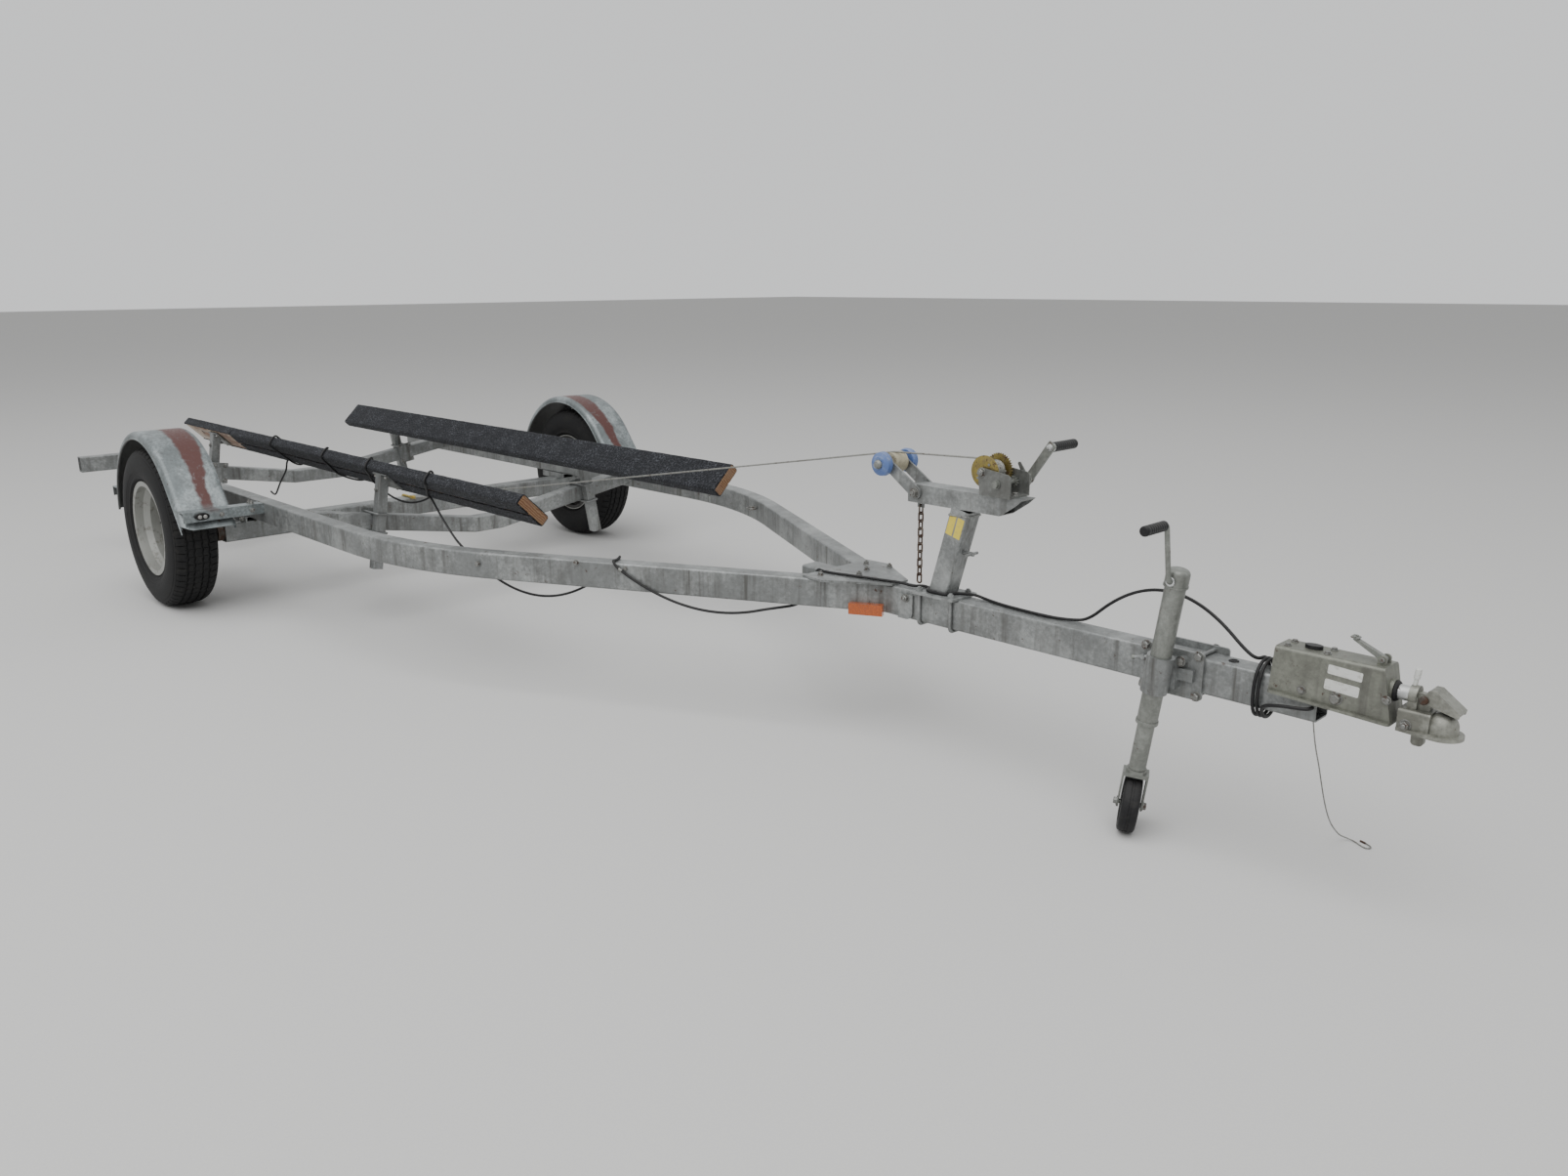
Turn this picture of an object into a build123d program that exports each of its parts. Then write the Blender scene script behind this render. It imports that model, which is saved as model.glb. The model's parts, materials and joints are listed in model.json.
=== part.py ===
"""Boat trailer with one axle, two bunks, a winch post, a jack and an overrun coupling.

Units are millimetres. X points forward to the coupling, Y to the left and Z up.
The origin lies on the ground under the middle of the trailer. Left is +Y.
"""

import math
import os

from build123d import *

# Overall places along the trailer, measured from the axle
REAR_END = -1380
BUNK_REAR = -1380
BUNK_FRONT = 1830
DRAWBAR_FRONT = 4260
BALL_X = DRAWBAR_FRONT + 237
HEAD_RIM_RADIUS = 42
AXLE_X = -(REAR_END + BALL_X + HEAD_RIM_RADIUS) / 2

# Wheels
TYRE_RADIUS = 325
TYRE_WIDTH = 186
WHEEL_TRACK = 2030
RIM_SEAT_RADIUS = 178
RIM_FLANGE_RADIUS = 193
RIM_WIDTH = 146
RIM_VENTS = 8
WHEEL_INSET = 56.7
HUB_RADIUS = 32
SPINDLE_RADIUS = 19
PIN_GAP = 0.4
DRUM_RADIUS = 118
DRUM_WIDTH = 52
DRUM_GAP = 6
BACKPLATE_RADIUS = 124
BACKPLATE_SHEET = 8

# Chassis tubes
CHASSIS_TOP = 453
RAIL_HEIGHT = 85
RAIL_WIDTH = 60
TUBE_WALL = 4
TUBE_CORNER = 7
RAIL_HALF_SPACING = 765
RAIL_BEND_START = 1200
RAIL_BEND_RADIUS = 1500
RAIL_BEND_ANGLE = 27.5
DRAWBAR_WIDTH = 66
CROSS_HEIGHT = 65
CROSS_WIDTH = 60
CROSS_BEND_RADIUS = 90

# Axle
AXLE_TUBE = 80
AXLE_TUBE_X = 160
AXLE_TUBE_Z = 302
ARM_THICKNESS = 26
WELD_GAP = 0.3

# Bunks and their posts
BUNK_WIDTH = 122
BUNK_THICKNESS = 34
CARPET = 5
BUNK_TILT = 45
BUNK_Y = 425
BUNK_Z = 556
POST_SIZE = 40
POST_WALL = 3
POST_Y = 487
POST_TILT = 9.5
POST_BOTTOM = 200

# Fenders
FENDER_RADIUS = 392
FENDER_Y = WHEEL_TRACK / 2 - 15
FENDER_WIDTH = 200
FENDER_BEAD = 4.5
FENDER_CORNER = 45
FENDER_SKIRT = 28
FENDER_SHEET = 3
FENDER_REAR_ANGLE = 175
FENDER_FRONT_ANGLE = 38
FENDER_FRONT_END = 236

# Winch post
POST_BASE_X = 3219
POST_LEAN = 16
WINCH_TUBE = 60
ARM_REAR = 3110
ARM_FRONT = 3465
ARM_TOP = 752
ARM_HEIGHT = 50
ARM_WIDTH = 60
ROLLER_X = 3035
ROLLER_Z = 800

# Jack
JACK_Y = -86
JACK_LEAN = 7.5
JACK_FOOT_X = 3872
JACK_OUTER_RADIUS = 24
JACK_INNER_RADIUS = 20
JACK_WHEEL_RADIUS = 70
JACK_WHEEL_WIDTH = 42
JACK_WHEEL_ROUND = 10
JACK_SWIVEL = 28.6

DRAWBAR_SIDE = DRAWBAR_WIDTH / 2
RAIL_OUTER = RAIL_HALF_SPACING + RAIL_WIDTH / 2
RAIL_INNER = RAIL_HALF_SPACING - RAIL_WIDTH / 2
CHASSIS_MIDDLE = CHASSIS_TOP - RAIL_HEIGHT / 2
CHASSIS_BOTTOM = CHASSIS_TOP - RAIL_HEIGHT

parts = {}


def keep(name, shape):
    parts[name] = shape


def keep_pair(name, left_shape):
    """Keeps a piece of the left side and its mirror image on the right side."""
    parts[name + "_left"] = left_shape
    parts[name + "_right"] = mirror(left_shape, about=Plane.XZ)


def box(x0, x1, y0, y1, z0, z1):
    centre = ((x0 + x1) / 2, (y0 + y1) / 2, (z0 + z1) / 2)
    return Pos(*centre) * Box(x1 - x0, y1 - y0, z1 - z0)


def tube_section(width, height, wall, corner=TUBE_CORNER):
    inner_corner = max(corner - wall, 1)
    return RectangleRounded(width, height, corner) - RectangleRounded(
        width - 2 * wall, height - 2 * wall, inner_corner
    )


def straight(start, end, section, side=(0, 1, 0)):
    """Extrudes a section from start to end, with the section's x along side."""
    start = Vector(*start)
    run = Vector(*end) - start
    plane = Plane(origin=start, x_dir=side, z_dir=run)
    return extrude(plane * section, run.length)


def rod(start, end, radius):
    return straight(start, end, Circle(radius), side=(0.31, 0.42, 0.85))


def bent_rod(points, radius, bend):
    """A round rod bent along the points."""
    line = FilletPolyline(*points, radius=bend)
    start = Plane(origin=line @ 0, z_dir=line % 0)
    return sweep(start * Circle(radius), path=Wire(line.edges()))


def cord_tube(name, points, radius):
    """A limp cord: short straight runs joined by arcs, each as wide as its runs allow."""
    corners = [Vector(*point) for point in points]
    bends = []
    for before, here, after in zip(corners, corners[1:], corners[2:]):
        shorter = min((here - before).length, (after - here).length)
        bent = math.radians((here - before).get_angle(after - here))
        bends.append(min(0.45 * shorter / math.tan(bent / 2), 600))
    line = FilletPolyline(*corners, radius=bends)
    tube = sweep(Plane(origin=line @ 0, z_dir=line % 0) * Circle(radius), path=Wire(line.edges()))
    expected = math.pi * radius**2 * line.length
    print(name, "length", round(line.length), "volume ratio", round(tube.volume / expected, 4), end=" ")
    print("radii", [round(bend) for bend in bends])
    return tube


def hanging(start, end, sag, count):
    """Points between two held points of a cord that sags by that much in the middle."""
    points = []
    for index in range(1, count + 1):
        share = index / (count + 1)
        x, y, z = (a + (b - a) * share for a, b in zip(start, end))
        points.append((x, y, z - 4 * share * (1 - share) * sag))
    return points


def swept(path, plane, width, height, wall):
    """A hollow box section swept along a smooth path."""
    corner = TUBE_CORNER
    outer = sweep(plane * RectangleRounded(width, height, corner), path=path)
    inner = sweep(plane * RectangleRounded(width - 2 * wall, height - 2 * wall, corner - wall), path=path)
    return outer - inner


# Side rails, parallel at the wheels and bent in to the drawbar
rail_straight = Line(
    (REAR_END, RAIL_HALF_SPACING, CHASSIS_MIDDLE), (RAIL_BEND_START, RAIL_HALF_SPACING, CHASSIS_MIDDLE)
)
turn = math.radians(RAIL_BEND_ANGLE)
bend_end = (
    RAIL_BEND_START + RAIL_BEND_RADIUS * math.sin(turn),
    RAIL_HALF_SPACING - RAIL_BEND_RADIUS * (1 - math.cos(turn)),
)
bend_middle = (
    RAIL_BEND_START + RAIL_BEND_RADIUS * math.sin(turn / 2),
    RAIL_HALF_SPACING - RAIL_BEND_RADIUS * (1 - math.cos(turn / 2)),
)
rail_bend = ThreePointArc(rail_straight @ 1, (*bend_middle, CHASSIS_MIDDLE), (*bend_end, CHASSIS_MIDDLE))
rail_nose_x = bend_end[0] + bend_end[1] / math.tan(turn)
rail_nose = Line(rail_bend @ 1, (rail_nose_x, 0, CHASSIS_MIDDLE))
drawbar_rear = rail_nose_x - 337
rail_path = Wire([rail_straight.edge(), rail_bend.edge(), rail_nose.edge()])
rail_plane = Plane(origin=rail_straight @ 0, x_dir=(0, 1, 0), z_dir=(1, 0, 0))
rail_left = swept(rail_path, rail_plane, RAIL_WIDTH, RAIL_HEIGHT, TUBE_WALL)
rail_left -= box(drawbar_rear, DRAWBAR_FRONT, -RAIL_HEIGHT, DRAWBAR_SIDE, CHASSIS_BOTTOM - 5, CHASSIS_TOP + 5)
keep_pair("side_rail", rail_left)

# Drawbar
drawbar = straight(
    (drawbar_rear, 0, CHASSIS_MIDDLE),
    (DRAWBAR_FRONT, 0, CHASSIS_MIDDLE),
    tube_section(DRAWBAR_WIDTH, RAIL_HEIGHT, TUBE_WALL),
)
keep("drawbar", drawbar)


# Crossmembers with a dropped middle
def crossmember(x, low_top, flat_half, rise):
    low = low_top - CROSS_HEIGHT / 2
    reach = RAIL_HALF_SPACING
    high = low + (reach - flat_half) * rise
    line = FilletPolyline(
        (x, -reach, high), (x, -flat_half, low), (x, flat_half, low), (x, reach, high), radius=CROSS_BEND_RADIUS
    )
    path = Wire(line.edges())
    start = Plane(origin=line @ 0, x_dir=(1, 0, 0), z_dir=line % 0)
    bar = swept(path, start, CROSS_WIDTH, CROSS_HEIGHT, TUBE_WALL)
    end = box(x - CROSS_WIDTH, x + CROSS_WIDTH, RAIL_INNER, reach + CROSS_WIDTH, high - CROSS_HEIGHT, high + CROSS_HEIGHT)
    return bar - end - mirror(end, about=Plane.XZ)


FRONT_CROSS_X = 762
REAR_CROSS_X = -950
CROSS_RISE = math.tan(math.radians(POST_TILT))
FRONT_CROSS_LOW = 338
REAR_CROSS_LOW = 352
FRONT_CROSS_FLAT = 60
REAR_CROSS_FLAT = 120
keep("front_crossmember", crossmember(FRONT_CROSS_X, FRONT_CROSS_LOW, FRONT_CROSS_FLAT, CROSS_RISE))
keep("rear_crossmember", crossmember(REAR_CROSS_X, REAR_CROSS_LOW, REAR_CROSS_FLAT, CROSS_RISE))

# Open outrigger tubes behind the wheels
OUTRIGGER_X = -1300
OUTRIGGER_SIZE = 75
OUTRIGGER_END = FENDER_Y + 5
outrigger = straight(
    (OUTRIGGER_X, RAIL_OUTER, CHASSIS_TOP + 22 - OUTRIGGER_SIZE / 2),
    (OUTRIGGER_X, OUTRIGGER_END, CHASSIS_TOP + 22 - OUTRIGGER_SIZE / 2),
    tube_section(50, OUTRIGGER_SIZE, TUBE_WALL),
    side=(1, 0, 0),
)
keep_pair("rear_outrigger", outrigger)

# Gusset plate over the joint of the rails and the drawbar
GUSSET_SHEET = 6
gusset_half = [(rail_nose_x - 228, 139), (rail_nose_x - 146, 144), (rail_nose_x + 27, 34)]
gusset_outline = Polyline(*gusset_half, *[(x, -y) for x, y in reversed(gusset_half)], close=True)
gusset = Pos(0, 0, CHASSIS_TOP) * extrude(make_face(gusset_outline), GUSSET_SHEET)
keep("gusset_plate", gusset)

# Places of the wheel's layers across the trailer, from the disc inward
wheel_face_y = WHEEL_TRACK / 2 - WHEEL_INSET
drum_y = wheel_face_y - DRUM_WIDTH
backplate_y = drum_y - DRUM_GAP - BACKPLATE_SHEET
arm_y = backplate_y - ARM_THICKNESS
axle_end = arm_y - WELD_GAP

# Axle beam with its two seats under the rails
beam = straight(
    (AXLE_TUBE_X, -axle_end, AXLE_TUBE_Z),
    (AXLE_TUBE_X, axle_end, AXLE_TUBE_Z),
    tube_section(AXLE_TUBE, AXLE_TUBE, 5, 10),
    side=(1, 0, 0),
)
beam_top = AXLE_TUBE_Z + AXLE_TUBE / 2
seat = box(70, 250, RAIL_HALF_SPACING - 34, RAIL_HALF_SPACING + 34, beam_top, CHASSIS_BOTTOM)
seat -= box(64, 256, RAIL_HALF_SPACING - 26, RAIL_HALF_SPACING + 26, beam_top + 5, CHASSIS_BOTTOM - 5)
seat = fillet(seat.edges().filter_by(Axis.Z), 3)
keep("axle_beam", beam + seat + mirror(seat, about=Plane.XZ))

# Suspension arm with its spindle and brake backplate
arm_outline = make_hull(
    [
        *(Pos(AXLE_TUBE_X, AXLE_TUBE_Z) * Circle(36)).edges(),
        *(Pos(0, TYRE_RADIUS) * Circle(30)).edges(),
    ]
)
arm_plane = Plane(origin=(0, arm_y, 0), x_dir=(1, 0, 0), z_dir=(0, -1, 0))
arm = extrude(arm_plane * arm_outline, -ARM_THICKNESS)
arm += rod((0, backplate_y - 1, TYRE_RADIUS), (0, wheel_face_y + 10, TYRE_RADIUS), SPINDLE_RADIUS)
backplate = rod((0, backplate_y, TYRE_RADIUS), (0, backplate_y + BACKPLATE_SHEET, TYRE_RADIUS), BACKPLATE_RADIUS)
keep_pair("suspension_arm", arm + backplate)


def turned(points, x=0, z=TYRE_RADIUS):
    """Revolves a closed outline of (y, radius) points about a crosswise axis."""
    outline = make_face(Polyline(*[(r, y) for y, r in points], close=True))
    plane = Plane(origin=(x, 0, z), x_dir=(1, 0, 0), z_dir=(0, 0, 1))
    face = plane * outline
    return revolve(face, Axis((x, 0, z), (0, 1, 0)))


# Brake drum with its hub
drum_profile = [
    (drum_y, DRUM_RADIUS),
    (wheel_face_y, DRUM_RADIUS),
    (wheel_face_y, HUB_RADIUS),
    (wheel_face_y + 30, HUB_RADIUS),
    (wheel_face_y + 30, 2),
    (wheel_face_y + 24, 2),
    (wheel_face_y + 24, SPINDLE_RADIUS + PIN_GAP),
    (drum_y, SPINDLE_RADIUS + PIN_GAP),
    (drum_y, SPINDLE_RADIUS + 20),
    (wheel_face_y - 8, SPINDLE_RADIUS + 20),
    (wheel_face_y - 8, DRUM_RADIUS - 8),
    (drum_y, DRUM_RADIUS - 8),
]
keep_pair("brake_drum", turned(drum_profile))

# Wheel rim with its vented disc
rim_y = WHEEL_TRACK / 2
half = RIM_WIDTH / 2
rim_profile = [
    (rim_y - half - 6, RIM_FLANGE_RADIUS),
    (rim_y - half, RIM_FLANGE_RADIUS),
    (rim_y - half, RIM_SEAT_RADIUS),
    (rim_y - half + 26, RIM_SEAT_RADIUS - 3),
    (rim_y - half + 40, RIM_SEAT_RADIUS - 20),
    (rim_y + half - 50, RIM_SEAT_RADIUS - 20),
    (rim_y + half - 28, RIM_SEAT_RADIUS - 3),
    (rim_y + half, RIM_SEAT_RADIUS),
    (rim_y + half, RIM_FLANGE_RADIUS),
    (rim_y + half + 6, RIM_FLANGE_RADIUS),
    (rim_y + half + 5, RIM_SEAT_RADIUS - 5),
    (rim_y + half - 26, RIM_SEAT_RADIUS - 8),
    (rim_y + half - 48, RIM_SEAT_RADIUS - 25),
    (rim_y - half + 38, RIM_SEAT_RADIUS - 25),
    (rim_y - half + 24, RIM_SEAT_RADIUS - 8),
    (rim_y - half - 5, RIM_SEAT_RADIUS - 5),
]
disc_profile = [
    (wheel_face_y, HUB_RADIUS + 0.3),
    (wheel_face_y, 88),
    (wheel_face_y + 26, 108),
    (wheel_face_y + 34, 128),
    (wheel_face_y + 24, 150),
    (wheel_face_y + 10, RIM_SEAT_RADIUS - 24),
    (wheel_face_y + 16, RIM_SEAT_RADIUS - 22),
    (wheel_face_y + 30, 153),
    (wheel_face_y + 41, 128),
    (wheel_face_y + 32, 104),
    (wheel_face_y + 6, 84),
    (wheel_face_y + 6, HUB_RADIUS + 0.3),
]
rim = turned(rim_profile) + turned(disc_profile)
vent = make_face(Polyline((-9, 0), (9, 0), (21, 32), (-21, 32), close=True))
vent = fillet(vent.vertices(), 4)
vent_plane = Plane(origin=(0, wheel_face_y - 20, TYRE_RADIUS), x_dir=(1, 0, 0), z_dir=(0, 1, 0))
for index in range(RIM_VENTS):
    hole = Rot(0, 0, index * 360 / RIM_VENTS) * Pos(0, 109) * vent
    rim -= extrude(vent_plane * hole, 90)
keep_pair("wheel_rim", rim)

# Tyre, closed down to its beads; each point is an inset from the widest and from the tread
tyre_half = TYRE_WIDTH / 2
bead_radius = RIM_SEAT_RADIUS + WELD_GAP
TYRE_POINTS = [(21, 128), (4, 100), (0, 70), (5, 38), (15, 15), (33, 4), (56, 0)]
tyre_wall = [(tyre_half - inset, TYRE_RADIUS - drop) for inset, drop in TYRE_POINTS]
tyre_wall.insert(0, (tyre_half - TYRE_POINTS[0][0], bead_radius))
tyre_outline = [(rim_y + y, radius) for y, radius in tyre_wall]
tyre_outline += [(rim_y - y, radius) for y, radius in reversed(tyre_wall)]
keep_pair("tyre", turned(tyre_outline))

# Fender swept over the wheel
fender_start = math.radians(FENDER_REAR_ANGLE)
fender_stop = math.radians(FENDER_FRONT_ANGLE)
fender_mid = (fender_start + fender_stop) / 2


def fender_point(angle):
    return (FENDER_RADIUS * math.cos(angle), FENDER_Y, TYRE_RADIUS + FENDER_RADIUS * math.sin(angle))


fender_arc = ThreePointArc(fender_point(fender_start), fender_point(fender_mid), fender_point(fender_stop))
front_direction = Vector(math.sin(fender_stop), 0, -math.cos(fender_stop))
fender_line = Line(fender_arc @ 1, fender_arc @ 1 + front_direction * FENDER_FRONT_END)
fender_path = Wire([fender_arc.edge(), fender_line.edge()])
outer = Pos(0, -FENDER_SKIRT / 2) * Rectangle(FENDER_WIDTH, FENDER_SKIRT)
outer = fillet(outer.vertices().group_by(Axis.Y)[-1], 22)
inner = Pos(0, -FENDER_SKIRT / 2 - FENDER_SHEET) * Rectangle(FENDER_WIDTH - 2 * FENDER_SHEET, FENDER_SKIRT)
inner = fillet(inner.vertices().group_by(Axis.Y)[-1], 22 - FENDER_SHEET)
bead_at = FENDER_WIDTH / 2 - FENDER_BEAD / 2
fender_section = outer - inner
for edge_y in (-bead_at, bead_at):
    fender_section += Pos(edge_y, -FENDER_SKIRT) * Circle(FENDER_BEAD)
fender_plane = Plane(origin=fender_arc @ 0, x_dir=(0, 1, 0), z_dir=fender_arc % 0)
fender = sweep(fender_plane * fender_section, path=fender_path)
# The front end has a rounded outer corner
fender_end = (fender_line @ 1) + Vector(0, FENDER_WIDTH / 2, 0)
corner_plane = Plane(origin=fender_end, x_dir=front_direction, z_dir=front_direction.cross(Vector(0, 1, 0)))
corner_cut = Rectangle(FENDER_CORNER, FENDER_CORNER, align=(Align.MAX, Align.MAX))
corner_cut -= Pos(-FENDER_CORNER, -FENDER_CORNER) * Circle(FENDER_CORNER)
fender -= extrude(corner_plane * corner_cut, 2 * FENDER_SKIRT, both=True)
# Folded brackets that carry the fender on the rail
BRACKET_TOP = CHASSIS_TOP - 3
BRACKET_DROP = 40
BRACKET_SHEET = 4


def fender_reach(z):
    """How far the fender's front and rear sheets stand from the axle at that height."""
    start = fender_point(fender_stop)
    front = start[0] + (start[2] - z) * math.tan(fender_stop)
    rear = math.sqrt(FENDER_RADIUS**2 - (z - TYRE_RADIUS) ** 2)
    return front, rear


front_reach, rear_reach = fender_reach(BRACKET_TOP)
bracket_end = FENDER_Y + FENDER_WIDTH / 2 - 4
bracket_low = BRACKET_TOP - BRACKET_DROP


def bracket(near, far):
    """A folded angle from the rail to the fender; near lies on the sheet."""
    lip = far - math.copysign(BRACKET_SHEET, far)
    low, high = sorted((near, far))
    low_lip, high_lip = sorted((lip, far))
    top = box(low, high, RAIL_OUTER, bracket_end, BRACKET_TOP - BRACKET_SHEET, BRACKET_TOP)
    return top + box(low_lip, high_lip, RAIL_OUTER, bracket_end, bracket_low, BRACKET_TOP)


BRACKET_LENGTH = 56
fender += bracket(front_reach - 1, front_reach + BRACKET_LENGTH)
fender += bracket(-rear_reach + 1, -rear_reach - BRACKET_LENGTH)
keep_pair("fender", fender)

# Small oval lamps on the front brackets
lamp_plane = Plane(
    origin=(front_reach + BRACKET_LENGTH, FENDER_Y + 30, BRACKET_TOP - BRACKET_DROP / 2), x_dir=(0, 1, 0), z_dir=(1, 0, 0)
)
lamp = extrude(lamp_plane * Ellipse(27, 14), 10) + extrude(lamp_plane * Ellipse(21, 9), 14)
keep("position_lamps", Compound([lamp, mirror(lamp, about=Plane.XZ)]))

# Bunks: a plank in a carpet sleeve, tilted to the hull
bunk_plane = Plane(origin=(BUNK_REAR, BUNK_Y, BUNK_Z), x_dir=(0, 1, 0), z_dir=(1, 0, 0))
tilt = Rot(0, 0, BUNK_TILT)
plank = tilt * RectangleRounded(BUNK_WIDTH, BUNK_THICKNESS, 4)
sleeve = tilt * RectangleRounded(BUNK_WIDTH + 2 * CARPET, BUNK_THICKNESS + 2 * CARPET, 4 + CARPET)
bunk_length = BUNK_FRONT - BUNK_REAR
keep_pair("bunk_carpet", extrude(bunk_plane * (sleeve - plank), bunk_length - 4))
keep_pair("bunk_plank", extrude(bunk_plane * plank, bunk_length))
# The right bunk has lost its carpet under the rear end
BARE_LENGTH = 630
bare_strip = tilt * Pos(0, -BUNK_THICKNESS / 2 - CARPET / 2) * Rectangle(BUNK_WIDTH - 6, CARPET + 1)
bare = extrude(bunk_plane * bare_strip, BARE_LENGTH) - parts["bunk_plank_left"]
parts["bunk_carpet_right"] -= mirror(bare, about=Plane.XZ)

# Bunk posts clamped to the crossmembers
lean = math.radians(POST_TILT)
under = math.radians(BUNK_TILT)
pad_depth = BUNK_THICKNESS / 2 + CARPET + WELD_GAP
pad_centre = Vector(BUNK_Y + pad_depth * math.sin(under), BUNK_Z - pad_depth * math.cos(under))


POST_MARK = 410
POST_TOP = 600
CLAMP_SHEET = 6
CLAMP_ROD = 4.5


def post_at(x, z):
    """The middle of a post at that height."""
    return Vector(x, POST_Y + (POST_MARK - z) * math.tan(lean), z)


def post_clamp(cross_x, low_top, flat_half, ahead):
    """Two bent rods round the post, over and under the crossmember, with the plate behind it."""
    low = low_top - CROSS_HEIGHT / 2
    rise = math.tan(lean)
    height = (low + (POST_Y + POST_MARK * rise - flat_half) * rise) / (1 + rise * rise)
    plane = Plane(
        origin=post_at(cross_x, height), x_dir=(ahead, 0, 0), z_dir=(0, -ahead * math.sin(lean), ahead * math.cos(lean))
    )
    behind = -CROSS_WIDTH / 2
    front = CROSS_WIDTH / 2 + POST_SIZE + CLAMP_ROD + WELD_GAP
    side = POST_SIZE / 2 + CLAMP_ROD + WELD_GAP
    above = CROSS_HEIGHT / 2 + CLAMP_ROD + WELD_GAP
    plate = Pos(behind - CLAMP_SHEET / 2, 0, 0) * Box(CLAMP_SHEET, 2 * side + 26, 2 * above + 26)
    start = behind - CLAMP_SHEET - 14
    for level in (-above, above):
        points = [(start, -side, level), (front, -side, level), (front, side, level), (start, side, level)]
        plate += bent_rod(points, CLAMP_ROD, CLAMP_ROD + 4)
    return plane.location * plate


def bunk_support(x):
    """A post with the folded pad under the bunk."""
    foot = post_at(x, POST_BOTTOM)
    head = post_at(x, POST_TOP)
    post = straight(foot, head, tube_section(POST_SIZE, POST_SIZE, POST_WALL, 4), side=(1, 0, 0))
    pad_plane = Plane(
        origin=(x, pad_centre.X, pad_centre.Y), x_dir=(1, 0, 0), z_dir=(0, -math.sin(under), math.cos(under))
    )
    post -= extrude(pad_plane * Rectangle(400, 500), 300)
    post -= extrude(pad_plane * Rectangle(400, 500), -6)
    pad = extrude(pad_plane * Rectangle(110, 90), -6)
    return post + pad


post_offset = CROSS_WIDTH / 2 + POST_SIZE / 2
front_clamp = post_clamp(FRONT_CROSS_X, FRONT_CROSS_LOW, FRONT_CROSS_FLAT, 1)
rear_clamp = post_clamp(REAR_CROSS_X, REAR_CROSS_LOW, REAR_CROSS_FLAT, -1)
keep_pair("bunk_post_front", Compound([bunk_support(FRONT_CROSS_X + post_offset), front_clamp]))
keep_pair("bunk_post_rear", Compound([bunk_support(REAR_CROSS_X - post_offset), rear_clamp]))

# Winch post leaning forward on its base plate
BASE_SHEET = 6
BASE_HALF = 58
base_top = CHASSIS_TOP + BASE_SHEET
base = box(POST_BASE_X - 69, POST_BASE_X + 76, -BASE_HALF, BASE_HALF, CHASSIS_TOP, base_top)
base = fillet(base.edges().filter_by(Axis.Z), 10)
post_top_z = ARM_TOP - ARM_HEIGHT
lean_run = (post_top_z - base_top) * math.tan(math.radians(POST_LEAN))
winch_tube = straight(
    (POST_BASE_X, 0, base_top),
    (POST_BASE_X + lean_run, 0, post_top_z),
    tube_section(WINCH_TUBE, WINCH_TUBE, TUBE_WALL),
)
winch_tube -= box(POST_BASE_X - 200, POST_BASE_X + 300, -60, 60, base_top - 60, base_top)
winch_tube -= box(POST_BASE_X - 200, POST_BASE_X + 300, -60, 60, post_top_z, post_top_z + 60)
# A cross-handled screw on the front of the post
SCREW_Z = CHASSIS_TOP + 127
screw_x = POST_BASE_X + (SCREW_Z - base_top) * math.tan(math.radians(POST_LEAN)) + WINCH_TUBE / 2
winch_tube += rod((screw_x - 1, 0, SCREW_Z), (screw_x + 34, 0, SCREW_Z), 6)
winch_tube += rod((screw_x + 28, -24, SCREW_Z), (screw_x + 28, 24, SCREW_Z), 4)
keep("winch_post", winch_tube)

# U-bolts that hold the post base on the drawbar
under_bar = CHASSIS_BOTTOM - WELD_GAP
ROD_RADIUS = 5
rod_side = DRAWBAR_SIDE + ROD_RADIUS + WELD_GAP
rod_low = under_bar - ROD_RADIUS
rod_high = base_top + 12
for x in (POST_BASE_X - 53, POST_BASE_X + 56):
    corners = [(x, -rod_side, rod_high), (x, -rod_side, rod_low), (x, rod_side, rod_low), (x, rod_side, rod_high)]
    base += bent_rod(corners, ROD_RADIUS, TUBE_CORNER + WELD_GAP + ROD_RADIUS)
    for y in (-rod_side, rod_side):
        base += Pos(x, y, base_top) * extrude(RegularPolygon(9, 6), 8)
# A plate on the drawbar's right side, behind the base
side_plate = box(POST_BASE_X - 129, POST_BASE_X - 77, -DRAWBAR_SIDE - 6, -DRAWBAR_SIDE, CHASSIS_BOTTOM, CHASSIS_TOP - 14)
side_plate = fillet(side_plate.edges().filter_by(Axis.Y).group_by(Axis.Z)[0].sort_by(Axis.X)[-1:], 22)
keep("winch_post_clamp", Compound([base, side_plate]))

# Winch arm with its slanted front end
arm_profile = Polyline(
    (ARM_REAR, ARM_TOP),
    (ARM_FRONT + 20, ARM_TOP),
    (ARM_FRONT, ARM_TOP - 18),
    (ARM_FRONT - 48, ARM_TOP - ARM_HEIGHT),
    (ARM_REAR, ARM_TOP - ARM_HEIGHT),
    close=True,
)
profile_plane = Plane(origin=(0, ARM_WIDTH / 2, 0), x_dir=(1, 0, 0), z_dir=(0, -1, 0))
winch_arm = extrude(profile_plane * make_face(arm_profile), ARM_WIDTH)
winch_arm -= box(
    ARM_REAR - 10, ARM_FRONT + 50, -ARM_WIDTH / 2 + TUBE_WALL, ARM_WIDTH / 2 - TUBE_WALL,
    ARM_TOP - ARM_HEIGHT + TUBE_WALL, ARM_TOP - TUBE_WALL,
)
# The lug under the arm that a chain hangs from
CHAIN_X = ARM_REAR + 23
LUG_DROP = 18
lug_low = ARM_TOP - ARM_HEIGHT - LUG_DROP
LINK_HOLE = 4
winch_arm += box(CHAIN_X - 11, CHAIN_X + 11, -2, 2, lug_low, ARM_TOP - ARM_HEIGHT + 1)
winch_arm -= rod((CHAIN_X, -5, lug_low + 9), (CHAIN_X, 5, lug_low + 9), LINK_HOLE)
keep("winch_arm", winch_arm)

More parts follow.
